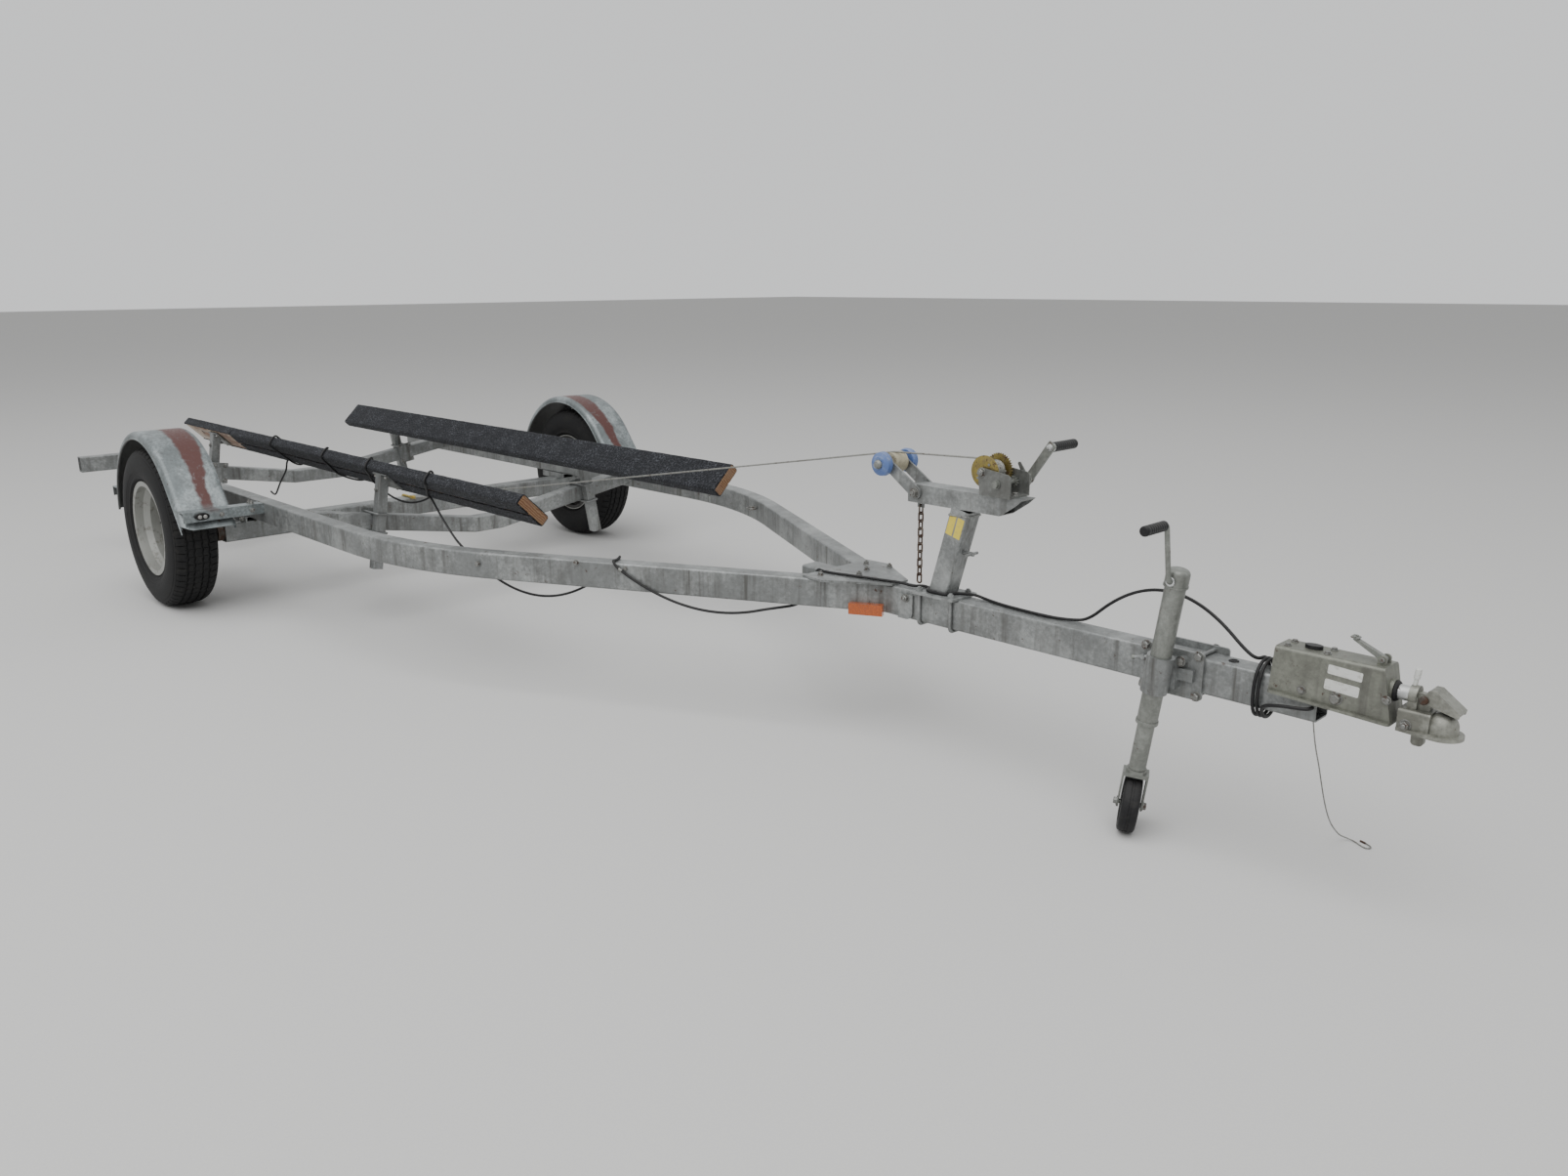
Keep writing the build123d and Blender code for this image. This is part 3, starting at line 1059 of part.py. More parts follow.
# From the coil in an arch over the jack clamp to the top of the drawbar
arch_start = (COIL_X - 56, -24, CHASSIS_MIDDLE + 82)
arch_end = (DRAWBAR_FRONT - 600, 28, on_bar + 6)
light_route += [arch_start, *hanging(arch_start, arch_end, -108, 6), arch_end]
BAR_LAY = [(-640, 14), (-700, -2), (-775, 2), (-850, 8), (-915, 24)]
light_route += [(DRAWBAR_FRONT + x, y, on_bar) for x, y in BAR_LAY]
# Round the right side of the winch post's foot
FOOT_LAY = [(96, 22), (66, 12), (44, -2), (41.5, -22), (33, -36.5), (12, -36), (-16, -37), (-35, -29), (-41, -10), (-56, -1)]
light_route += [(POST_BASE_X + x, y, on_plate) for x, y in FOOT_LAY]
light_route += [(POST_BASE_X - 74, -4, on_plate + 0.6), (POST_BASE_X - 102, -11, on_bar + 1)]
light_route += [(POST_BASE_X - 134, -18, on_bar + 6.6)]
GUSSET_LAY = [(-6, -32), (-60, -44), (-120, -60), (-172, -74), (-206, -78)]
light_route += [(rail_nose_x + x, y, CHASSIS_TOP + GUSSET_SHEET + CABLE_SEAT) for x, y in GUSSET_LAY]


def by_rail(x, aside, z):
    """A point beside the slanted part of the right rail, measured outward from its middle."""
    return (x, -((rail_nose_x - x) * math.tan(turn) + aside / math.cos(turn)), z)


# Down inside the rail, under it, up its outer face, over its top and down again
side = RAIL_WIDTH / 2 + CABLE_SEAT + 2
outside_low = by_rail(2728, side, CHASSIS_BOTTOM - 16)
outside_high = by_rail(2292, side, CHASSIS_TOP - 13)
inside_high = by_rail(2228, -side - 1, CHASSIS_TOP - 14)
RAIL_DOWN = [(2802, -48, 465), (2793, -47, 440), (2786, -45, 410), (2778, -41, 376), (2764, -20, 355), (2747, 8, 353)]
RAIL_OVER = [(2276, 33, 4.8), (2264, 10, 0), (2252, -14, 0), (2241, -33, 4.8)]
light_route += [by_rail(*row) for row in RAIL_DOWN]
light_route += [outside_low, *hanging(outside_low, outside_high, 62, 6), outside_high]
light_route += [by_rail(x, aside, on_bar + lift) for x, aside, lift in RAIL_OVER]
lift_off = (1630, -600, 445)
light_route += [inside_high, *hanging(inside_high, lift_off, 148, 7), lift_off]


def by_bunk(x, up_across, outward):
    """A point at the right bunk: up across the plank, and out from its underside."""
    tip = math.radians(BUNK_TILT)
    across = up_across * math.cos(tip) + outward * math.sin(tip)
    return (x, -BUNK_Y - across, BUNK_Z + up_across * math.sin(tip) - outward * math.cos(tip))


HALF_UP = BUNK_WIDTH / 2 + CARPET
HALF_OUT = BUNK_THICKNESS / 2 + CARPET
lay = HALF_OUT + CABLE_SEAT + 1.2
edge = HALF_UP + CABLE_SEAT + 2.2
high = HALF_UP - 6
# The cable passes over the upper face with room for a thin plate under it
over_face = lay + 1


def wrap(start_x, top_x, low_x, steps):
    """Up the underside of the bunk, over its top edge, down its upper face and under its lower edge."""
    rows = [(start_x + 4, -48, lay + 1), (start_x, -30, lay)]
    for index in range(1, 4):
        share = index / 4
        rows.append((start_x + (top_x - start_x) * share, -30 + (high + 30) * share, lay + 1.2 * (index % 2)))
    rows += [(top_x, high, lay), (top_x - 2, edge, HALF_OUT - 1), (top_x - 9, edge, 1 - HALF_OUT)]
    first_x = top_x - 16
    for index in range(steps + 1):
        share = index / steps
        rows.append((first_x + (low_x + 14 - first_x) * share, high - 2 * high * share, -over_face - 1.2 * (index % 2)))
    rows += [(low_x, -edge, 1 - HALF_OUT), (low_x - 16, -edge - 3, HALF_OUT - 6)]
    return [by_bunk(*row) for row in rows]


# Each wrap: where it starts, where it goes over, where it comes out below, steps down the upper face
WRAPS = [(1096, 1208, 1046, 3), (636, 726, 486, 3), (286, 318, -140, 5), (-200, -232, -318, 3)]
# Sag of the cable between one wrap and the next, and the points in it
SAGS = [(44, 4), (6, 1), (4, 1)]
wraps = [wrap(*row) for row in WRAPS]
light_route += hanging(lift_off, wraps[0][0], 8, 5)
for index, points in enumerate(wraps):
    light_route += points
    if index < len(SAGS):
        sag, count = SAGS[index]
        light_route += hanging(points[-1], wraps[index + 1][0], sag, count)
# The bare end hangs below the bunk
TAIL = [(-338, -386, 452), (-362, -394, 418), (-398, -398, 386), (-432, -400, 350), (-462, -400, 322), (-496, -398, 314), (-528, -398, 326)]
light_route += TAIL
keep("light_cable", cord_tube("light_cable", light_route, CABLE_RADIUS))

# Side marker lamps
LAMP_X = rail_nose_x - 46.6
lamp_rail_x = LAMP_X - RAIL_WIDTH / 2 * math.sin(turn)
lamp_rail_y = bend_end[1] - (lamp_rail_x - bend_end[0]) * math.tan(turn)
lamp_face_y = lamp_rail_y + RAIL_WIDTH / 2 * math.cos(turn)
lamp_at = Location((LAMP_X, lamp_face_y, CHASSIS_BOTTOM + 10), (0, 0, -RAIL_BEND_ANGLE))
lamp_left = lamp_at * box(-50, 50, 0, 22, -16, 16)
keep("side_markers", Compound([lamp_left, mirror(lamp_left, about=Plane.XZ)]))

os.makedirs("parts", exist_ok=True)
for name, shape in parts.items():
    moved = Pos(AXLE_X, 0, 0) * shape
    solids = moved.solids()
    if len(solids) != 1:
        print("note", name, "has", len(solids), "solids")
    export_step(moved, "parts/" + name + ".step")
    size = moved.bounding_box()
    print(name, [round(v) for v in (*size.min, *size.max)])
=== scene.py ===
"""Boat trailer: the dressed model, laid out as an add-on and run as a script."""

import json
import math

import bmesh
import bpy
import numpy as np
from bpy.props import FloatProperty, FloatVectorProperty, IntProperty, PointerProperty
from mathutils import Matrix, Vector
from mathutils.bvhtree import BVHTree


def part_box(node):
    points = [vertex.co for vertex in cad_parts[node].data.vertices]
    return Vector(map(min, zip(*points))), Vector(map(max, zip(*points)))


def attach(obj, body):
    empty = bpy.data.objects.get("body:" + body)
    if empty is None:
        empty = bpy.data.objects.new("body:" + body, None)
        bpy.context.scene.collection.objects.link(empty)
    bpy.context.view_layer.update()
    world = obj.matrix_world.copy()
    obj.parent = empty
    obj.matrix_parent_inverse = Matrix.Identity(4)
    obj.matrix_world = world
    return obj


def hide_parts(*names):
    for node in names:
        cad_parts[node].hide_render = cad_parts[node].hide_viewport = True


bl_info = {
    "name": "Boat trailer",
    "version": (1, 0, 0),
    "blender": (4, 5, 0),
    "location": "3D View > Sidebar > Trailer",
    "description": "Dresses a galvanised boat trailer: tyres, carpet, cables, fasteners and finishes",
    "category": "Object",
}

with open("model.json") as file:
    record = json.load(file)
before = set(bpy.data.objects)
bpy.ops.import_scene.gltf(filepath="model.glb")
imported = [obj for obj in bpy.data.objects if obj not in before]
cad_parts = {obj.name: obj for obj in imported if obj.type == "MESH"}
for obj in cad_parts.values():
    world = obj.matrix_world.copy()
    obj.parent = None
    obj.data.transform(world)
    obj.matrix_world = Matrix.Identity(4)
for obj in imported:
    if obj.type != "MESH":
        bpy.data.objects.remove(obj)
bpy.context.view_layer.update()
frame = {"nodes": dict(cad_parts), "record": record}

tyre_low, tyre_high = (np.array(corner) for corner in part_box("tyre_left"))
AXLE = np.array([(tyre_low[0] + tyre_high[0]) / 2, 0.0, 0.0])
TYRE_RADIUS = (tyre_high[2] - tyre_low[2]) / 2
TYRE_MIDDLE = (tyre_low[1] + tyre_high[1]) / 2
CHASSIS_BOTTOM, CHASSIS_TOP = (corner[2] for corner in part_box("drawbar"))
CHASSIS_MIDDLE = (CHASSIS_TOP + CHASSIS_BOTTOM) / 2
# The bunks' planks: their tip, and their underside's middle
BUNK_TIP = math.radians(45)
BUNK_Y = 0.425
BUNK_Z = 0.556
# The slanted stretch of each side rail: its turn from the middle line, and where both would meet it
RAIL_TURN = math.radians(27.5)
RAIL_NOSE = 3.0366
RAIL_HALF = 0.03
# The light cable: how far out from the right rail's middle it hangs, the clip on that rail, and its length
CABLE_ASIDE = 0.0363
CABLE_HELD = (2.292, CABLE_ASIDE, CHASSIS_TOP - 0.013)
# The winch post on the drawbar, its lean, and the drum above it
POST_X = 3.219
POST_LEAN = math.radians(16)
DRUM_X = 3.366
DRUM_Z = 0.812
# The coupling's shaft, and the jack with its wheel's middle
SHAFT_Z = 0.4705
JACK_LEAN = math.radians(7.5)
JACK_FOOT = (3.872, -0.086, 0.070865)
PLATE = 0.006
UP, AHEAD, LEFT, RIGHT = (0, 0, 1), (1, 0, 0), (0, 1, 0), (0, -1, 0)
SIDES = (("left", 1), ("right", -1))
SLOTS = {row["node"]: row["material_slot"] for row in frame["record"]["subparts"]}
TREES = {}


# ---------------------------------------------------------------- settings


class StageSettings(bpy.types.PropertyGroup):
    """Floor, light and world."""

    floor_colour: FloatVectorProperty(
        name="Floor colour", description="Colour of the pale floor", default=(0.74, 0.74, 0.73),
        size=3, subtype="COLOR",
    )
    sky_level: FloatProperty(
        name="Sky level", description="Strength of the even light from all round", default=0.5
    )
    lamp_power: FloatProperty(
        name="Lamp power", description="Power of the large soft lamp", default=1050.0, subtype="POWER"
    )


class ZincSettings(bpy.types.PropertyGroup):
    """Colours of the zinc coat, what has run down it, and the painted shade on its faces turned down."""

    zinc: FloatVectorProperty(
        name="Zinc", description="Weathered zinc coat", default=(0.235, 0.245, 0.243), size=3, subtype="COLOR"
    )
    bloom: FloatVectorProperty(
        name="Bloom", description="White bloom on the zinc", default=(0.42, 0.435, 0.43),
        size=3, subtype="COLOR",
    )
    # The drip colour also paints shade on the faces turned down.
    drip_and_shade: FloatVectorProperty(
        name="Drip", description="Dark streaks run down by rain", default=(0.07, 0.067, 0.06),
        size=3, subtype="COLOR",
    )
    rust: FloatVectorProperty(
        name="Rust", description="Rust where the coat is gone", default=(0.062, 0.03, 0.017),
        size=3, subtype="COLOR",
    )
    band: FloatVectorProperty(
        name="Fender band", description="Red-brown band over the fender", default=(0.092, 0.032, 0.027),
        size=3, subtype="COLOR",
    )


class TyreSettings(bpy.types.PropertyGroup):
    """Sizes of the worn road tread."""

    groove_depth: FloatProperty(
        name="Groove depth", description="Depth left in the grooves", default=0.0046, unit="LENGTH"
    )
    groove_width: FloatProperty(
        name="Groove width", description="Width of a round groove", default=0.0075, unit="LENGTH"
    )
    pitches: IntProperty(
        name="Pitches", description="Tread blocks round the tyre", default=62, min=24, max=90
    )


class CarpetSettings(bpy.types.PropertyGroup):
    """Sizes and colour of the carpet on the bunks."""

    thickness: FloatProperty(
        name="Thickness", description="Thickness with the pile", default=0.0046, unit="LENGTH"
    )
    pile: FloatProperty(name="Pile", description="How far tufts stand out", default=0.0007, unit="LENGTH")
    bare_length: FloatProperty(
        name="Bare length", description="Length at the right bunk's rear with no carpet below",
        default=0.63, unit="LENGTH",
    )
    colour: FloatVectorProperty(
        name="Carpet", description="Nearly black pile", default=(0.011, 0.012, 0.015), size=3, subtype="COLOR"
    )


class FastenerSettings(bpy.types.PropertyGroup):
    """Sizes of the hexagon fasteners, across their flats."""

    small: FloatProperty(
        name="Small", description="Small bolt head, across its flats", default=0.013, unit="LENGTH"
    )
    middle: FloatProperty(
        name="Middle", description="Middle bolt head, across its flats", default=0.017, unit="LENGTH"
    )
    large: FloatProperty(
        name="Large", description="Large bolt head, across its flats", default=0.019, unit="LENGTH"
    )


class CableSettings(bpy.types.PropertyGroup):
    """Diameters of the cords and wires."""

    light: FloatProperty(
        name="Light cable", description="Diameter of the lighting cable", default=0.008, unit="LENGTH"
    )
    breakaway: FloatProperty(
        name="Breakaway cable", description="Diameter of the steel safety cable",
        default=0.0032, unit="LENGTH",
    )
    winch: FloatProperty(
        name="Winch wire", description="Diameter of the winch wire", default=0.005, unit="LENGTH"
    )


GROUPS = {
    "trailer_stage": StageSettings,
    "trailer_zinc": ZincSettings,
    "trailer_tyre": TyreSettings,
    "trailer_carpet": CarpetSettings,
    "trailer_fasteners": FastenerSettings,
    "trailer_cables": CableSettings,
}


# ---------------------------------------------------------------- surfaces


def place(x, y, z):
    """A point given from the axle's middle on the ground, in the row frame."""
    return AXLE + np.array([x, y, z], float)


def mm(*rows):
    """Rows given in millimetres, in metres."""
    return np.array(rows, float) / 1000


def unit(vector):
    """The vector over its own length."""
    vector = np.asarray(vector, float)
    return vector / np.linalg.norm(vector, axis=-1, keepdims=True)


def square_to(axis):
    """Two unit directions square to the axis and to each other."""
    axis = unit(axis)
    helper = np.array([0.0, 0.0, 1.0]) if abs(axis[2]) < 0.9 else np.array([1.0, 0.0, 0.0])
    side = unit(np.cross(helper, axis))
    return side, np.cross(axis, side)


def circle(sides, start=0.0):
    """The cosines and the sines of evenly spaced angles, each as a column."""
    angle = start + np.linspace(0, 2 * np.pi, sides, endpoint=False)
    return np.cos(angle)[:, None], np.sin(angle)[:, None]


def measured(path):
    """How far along a path each of its points lies."""
    return np.concatenate([[0.0], np.cumsum(np.linalg.norm(np.diff(path, axis=0), axis=1))])


def grid(points, around=False, closed=False):
    """A grid of points and its quads; around joins the last column to the first, closed the last row to the
    first."""
    rows, columns = points.shape[:2]
    index = np.arange(rows * columns).reshape(rows, columns)
    if around:
        index = np.column_stack([index, index[:, 0]])
    if closed:
        index = np.vstack([index, index[:1]])
    quads = np.stack([index[:-1, :-1], index[:-1, 1:], index[1:, 1:], index[1:, :-1]], axis=-1)
    return points.reshape(-1, 3), quads.reshape(-1, 4)


def turned(profile, centre, axis, sides=24, start=0.0, closed=False):
    """A profile of (along, radius) turned round an axis: centre + along * axis + radius * (cos t * side + sin
    t * up)."""
    profile = np.asarray(profile, float)
    axis = unit(axis)
    side, up = square_to(axis)
    cos, sin = circle(sides, start)
    ring = cos * side + sin * up
    out, reach = profile.T[:, :, None, None]
    return grid(np.asarray(centre, float) + out * axis + reach * ring, around=True, closed=closed)


def along(path):
    """Two directions square to a path that don't twist: each side is the last one with its part along the new
    direction taken off."""
    way = unit(np.gradient(path, axis=0))
    side = square_to(way[0])[0]
    sides = []
    for direction in way:
        side = unit(side - direction * side.dot(direction))
        sides.append(side)
    sides = np.array(sides)
    return sides, np.cross(way, sides)


def carried(path, radius, sides=10):
    """A circle carried along a path: path + radius(s) * (cos t * side + sin t * up), with both ends drawn to
    a point."""
    radius = np.broadcast_to(radius, (len(path),)).astype(float)
    side, up = (np.concatenate([rows[:1], rows, rows[-1:]]) for rows in along(path))
    path = np.concatenate([path[:1], path, path[-1:]])
    radius = np.concatenate([[0.0], radius, [0.0]])
    cos, sin = circle(sides)
    ring = cos * side[:, None] + sin * up[:, None]
    return grid(path[:, None] + radius[:, None, None] * ring, around=True)


def strands(path, diameter, lay_length, count=6, sides=6):
    """Strands twisted round a path: strand k follows path + r * (cos(a + k) * side + sin(a + k) * up), where
    the angle a grows by one turn in each lay length; a core fills the middle."""
    side, up = along(path)
    run = measured(path)
    strand = diameter / 2 * math.sin(math.pi / count) / (1 + math.sin(math.pi / count))
    ring = diameter / 2 - strand
    shells = [carried(path, ring, sides)]
    for number in range(count):
        angle = (2 * np.pi * (run / lay_length + number / count))[:, None]
        out = np.cos(angle) * side + np.sin(angle) * up
        shells.append(carried(path + ring * out, strand * 1.04, sides))
    return shells


def slab(outline, origin, across, upward, thickness):
    """A flat outline with a thickness: origin + u * across + v * upward, and the same points moved out, with
    both faces drawn to their middles."""
    across, upward = unit(across), unit(upward)
    flat = np.asarray(origin, float) + outline[:, :1] * across + outline[:, 1:] * upward
    middle = np.broadcast_to(flat.mean(axis=0), flat.shape)
    lift = np.cross(across, upward) * thickness
    return grid(np.stack([middle, flat, flat + lift, middle + lift]), around=True)


def rounded(width, height, corner, steps=5):
    """The outline of a rectangle with round corners, counted anticlockwise."""
    angle = np.linspace(0, np.pi / 2, steps)
    quarter = np.stack([np.cos(angle), np.sin(angle)], axis=1) * corner
    rows = []
    for turn, (sx, sy) in enumerate([(1, 1), (-1, 1), (-1, -1), (1, -1)]):
        cos, sin = math.cos(turn * math.pi / 2), math.sin(turn * math.pi / 2)
        spin = quarter @ np.array([[cos, sin], [-sin, cos]])
        rows.append(spin + np.array([sx * (width / 2 - corner), sy * (height / 2 - corner)]))
    return np.concatenate(rows)


def oval_ring(centre, across, upward, half_width, half_height, radius):
    """A round bar bent to an oval: centre + a cos t * across + b sin t * upward, with a circle of the bar's
    radius in the plane of the oval's own outward direction and its axis."""
    across, upward = unit(across), unit(upward)
    cos, sin = circle(48)
    line = centre + half_width * cos * across + half_height * sin * upward
    outward = unit(cos / half_width * across + sin / half_height * upward)
    cos, sin = circle(8)
    ring = cos * outward[:, None] + sin * np.cross(across, upward)
    return grid(line[:, None] + radius * ring, around=True, closed=True)


def landed(node, start, way):
    """Where a straight line from a point first meets a carried node's surface."""
    if node not in TREES:
        graph = bpy.context.evaluated_depsgraph_get()
        TREES[node] = BVHTree.FromObject(frame["nodes"][node], graph)
    spot = TREES[node].ray_cast(Vector(start), Vector(way))[0]
    if spot is None:
        raise RuntimeError(f"the line from {start} along {way} misses {node}")
    return np.array(spot)


def wobble(points, scale, seed=0):
    """A smooth value from -1 to 1 at each point: the mean of five sine waves along fixed slanting
    directions."""
    rng = np.random.default_rng(seed)
    ways = rng.normal(size=(5, points.shape[-1]))
    phase = rng.uniform(0, 2 * np.pi, 5)
    return np.sin(points @ (ways.T / scale) + phase).mean(axis=-1)


def link(name, data):
    """A new object in the scene's collection."""
    piece = bpy.data.objects.new(name, data)
    bpy.context.scene.collection.objects.link(piece)
    return piece


def make(name, shells, slot, body="chassis", replaces=(), sharp=35, merge=True, uv=None):
    """Joins shells of points and quads into one piece that rides on a body and takes its finish from a
    slot."""
    points, quads, count = [], [], 0
    for shell_points, shell_quads in shells:
        points.append(shell_points)
        quads.append(shell_quads + count)
        count += len(shell_points)
    mesh = bpy.data.meshes.new(name)
    mesh.from_pydata(np.concatenate(points).tolist(), [], np.concatenate(quads).tolist())
    if uv is not None:
        corner = np.empty(len(mesh.loops), dtype=np.int32)
        mesh.loops.foreach_get("vertex_index", corner)
        layer = mesh.uv_layers.new(name="UVMap")
        layer.data.foreach_set("uv", np.asarray(uv, np.float32)[corner].ravel())
    if merge:
        work = bmesh.new()
        work.from_mesh(mesh)
        bmesh.ops.remove_doubles(work, verts=work.verts, dist=1e-6)
        bmesh.ops.dissolve_degenerate(work, edges=work.edges, dist=1e-7)
        bmesh.ops.recalc_face_normals(work, faces=work.faces)
        work.to_mesh(mesh)
        work.free()
    mesh.shade_smooth()
    if sharp:
        mesh.set_sharp_from_angle(angle=math.radians(sharp))
    piece = link(name, mesh)
    mesh.materials.append(bpy.data.materials[slot])
    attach(piece, body)
    if replaces:
        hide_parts(*replaces)
    return piece


def hexagon(at, way, across, height, stud=0.0, washer=True):
    """A washer, a six-sided head or nut with its chamfer, and the end of its stud, each a profile turned
    round the fastener's own axis."""
    reach = across / math.sqrt(3)
    shells = []
    base = -0.0004
    if washer:
        ring = reach * 1.28
        disc = [(base, 0), (base, ring), (0.0014, ring), (0.0018, ring * 0.96), (0.0018, 0)]
        shells.append(turned(disc, at, way, 20))
        base = 0.0016
    top = base + height
    head = [(base, 0), (base, reach), (top - 0.12 * height, reach), (top, reach * 0.86), (top, 0)]
    shells.append(turned(head, at, way, 6, start=0.4))
    if stud:
        core, tip = across * 0.29, top + stud
        end = [(base, 0), (base, core), (tip - 0.001, core), (tip, core * 0.8), (tip, 0)]
        shells.append(turned(end, at, way, 12))
    return shells


def bead(start, end, radius, seed):
    """A weld bead: a circle carried along a line, its radius rippling with the length and its line wandering
    a little."""
    start, end = np.asarray(start, float), np.asarray(end, float)
    length = float(np.linalg.norm(end - start))
    share = np.linspace(0, 1, max(8, int(length / 0.0022)))
    path = start + share[:, None] * (end - start)
    wander = wobble(path, 0.012, seed)[:, None] * 0.0005
    ripple = 1 + 0.13 * np.sin(share * length / 0.0044 * 2 * np.pi) + 0.12 * wobble(path, 0.02, seed + 3)
    ends = np.clip(np.minimum(share, 1 - share) * length / 0.004, 0.25, 1) ** 0.5
    return carried(path + wander, radius * ripple * ends, 8)


def read_route(curve_piece):
    """Points along the spline of a curve that has no bevel, as its mesh gives them."""
    mesh = bpy.data.meshes.new_from_object(curve_piece)
    points = np.empty(len(mesh.vertices) * 3)
    mesh.vertices.foreach_get("co", points)
    bpy.data.meshes.remove(mesh)
    return points.reshape(-1, 3)


def cord_curve(name, route, diameter, fine=6):
    """One open NURBS spline of order 3 with the route's points as its control points."""
    curve = bpy.data.curves.new(name, "CURVE")
    curve.dimensions = "3D"
    curve.resolution_u = fine
    spline = curve.splines.new("NURBS")
    spline.points.add(len(route) - 1)
    spline.points.foreach_set("co", np.column_stack([route, np.ones(len(route))]).ravel())
    spline.order_u = 3
    spline.use_endpoint_u = True
    curve.bevel_depth = diameter / 2
    curve.bevel_resolution = 3
    curve.use_fill_caps = True
    return link(name, curve)


# ---------------------------------------------------------------- finishes


class Signal:
    """A socket's value, which can be added to, taken off and multiplied, with one Math node for each step."""

    def __init__(self, nodes, socket):
        self.nodes = nodes
        self.socket = socket

    def __add__(self, other):
        return self.nodes.math("ADD", self, other)

    def __sub__(self, other):
        return self.nodes.math("SUBTRACT", self, other)

    def __rsub__(self, other):
        return self.nodes.math("SUBTRACT", other, self)

    def __mul__(self, other):
        return self.nodes.math("MULTIPLY", self, other)

    def __abs__(self):
        return self.nodes.math("ABSOLUTE", self)


class Nodes:
    """A short way to add nodes and links to one node tree."""

    def __init__(self, tree):
        self.tree = tree

    def add(self, kind, inputs=None, **settings):
        node = self.tree.nodes.new(kind)
        for key, value in settings.items():
            setattr(node, key, value)
        for key, value in (inputs or {}).items():
            self.feed(node.inputs[key], value)
        return node

    def signal(self, output, kind, inputs=None, **settings):
        """One output of a new node."""
        return Signal(self, self.add(kind, inputs, **settings).outputs[output])

    def feed(self, socket, value):
        if isinstance(value, Signal):
            self.tree.links.new(value.socket, socket)
        elif socket.type == "RGBA":
            socket.default_value = (*value[:3], 1.0)
        else:
            socket.default_value = value

    def math(self, operation, first, second=0.0, clamp=False):
        return self.signal(0, "ShaderNodeMath", {0: first, 1: second}, operation=operation, use_clamp=clamp)

    def between(self, value, low, high, start=0.0, end=1.0):
        """The value taken smoothly from low..high to start..end."""
        inputs = {"Value": value, "From Min": low, "From Max": high, "To Min": start, "To Max": end}
        return self.signal("Result", "ShaderNodeMapRange", inputs, interpolation_type="SMOOTHSTEP")

    def mix(self, share, first, second, blend="MIX"):
        """A mix of two colours, whose sockets are the Mix node's seventh, eighth and third."""
        inputs = {0: share, 6: first, 7: second}
        return self.signal(2, "ShaderNodeMix", inputs, data_type="RGBA", blend_type=blend)

    def noise(self, vector, scale, detail=4.0, rough=0.55):
        inputs = {"Vector": vector, "Scale": scale, "Detail": detail, "Roughness": rough}
        return self.signal("Fac", "ShaderNodeTexNoise", inputs)

    def stretch(self, vector, scale):
        """The vector with each of its parts multiplied."""
        return self.signal(0, "ShaderNodeVectorMath", {0: vector, 1: scale}, operation="MULTIPLY")

    def run(self, vector, scale, detail=4.0, rough=0.6):
        """Noise whose scale differs from axis to axis."""
        return self.noise(self.stretch(vector, scale), 1.0, detail, rough)

    def object_place(self):
        return self.signal("Object", "ShaderNodeTexCoord")

    def parts(self, vector):
        node = self.add("ShaderNodeSeparateXYZ", {0: vector})
        return [Signal(self, socket) for socket in node.outputs]

    def facing(self):
        return self.parts(self.signal("Normal", "ShaderNodeNewGeometry"))


LABELS = {
    "weathered zinc": ("Zinc", "Bloom", "Bloom share", "Drip share", "Rust share"),
    "scuffed surface": ("Colour", "Scuff", "Scuff share", "Dust share", "Scale", "Roughness"),
    "brushed metal": ("Colour", "Dull", "Dull share", "Rust share", "Roughness"),
    "looped pile": ("Colour", "Tips"),
    "wood grain": ("Pale", "Dark", "Grey"),
}


def effect(name, defaults, build):
    """A shader node group with an input for each default and an output for each row that build returns."""
    group = bpy.data.node_groups.new(name, "ShaderNodeTree")
    for label, default in defaults.items():
        colour = not isinstance(default, float)
        kind = "NodeSocketColor" if colour else "NodeSocketFloat"
        socket = group.interface.new_socket(label, in_out="INPUT", socket_type=kind)
        socket.default_value = (*default, 1.0) if colour else default
    nodes = Nodes(group)
    start = nodes.add("NodeGroupInput")
    rows = build(nodes, {socket.name: Signal(nodes, socket) for socket in start.outputs})
    for label in rows:
        kind = "NodeSocketColor" if label == "Colour" else "NodeSocketFloat"
        group.interface.new_socket(label, in_out="OUTPUT", socket_type=kind)
    end = nodes.add("NodeGroupOutput")
    for label, value in rows.items():
        nodes.feed(end.inputs[label], value)
    return group


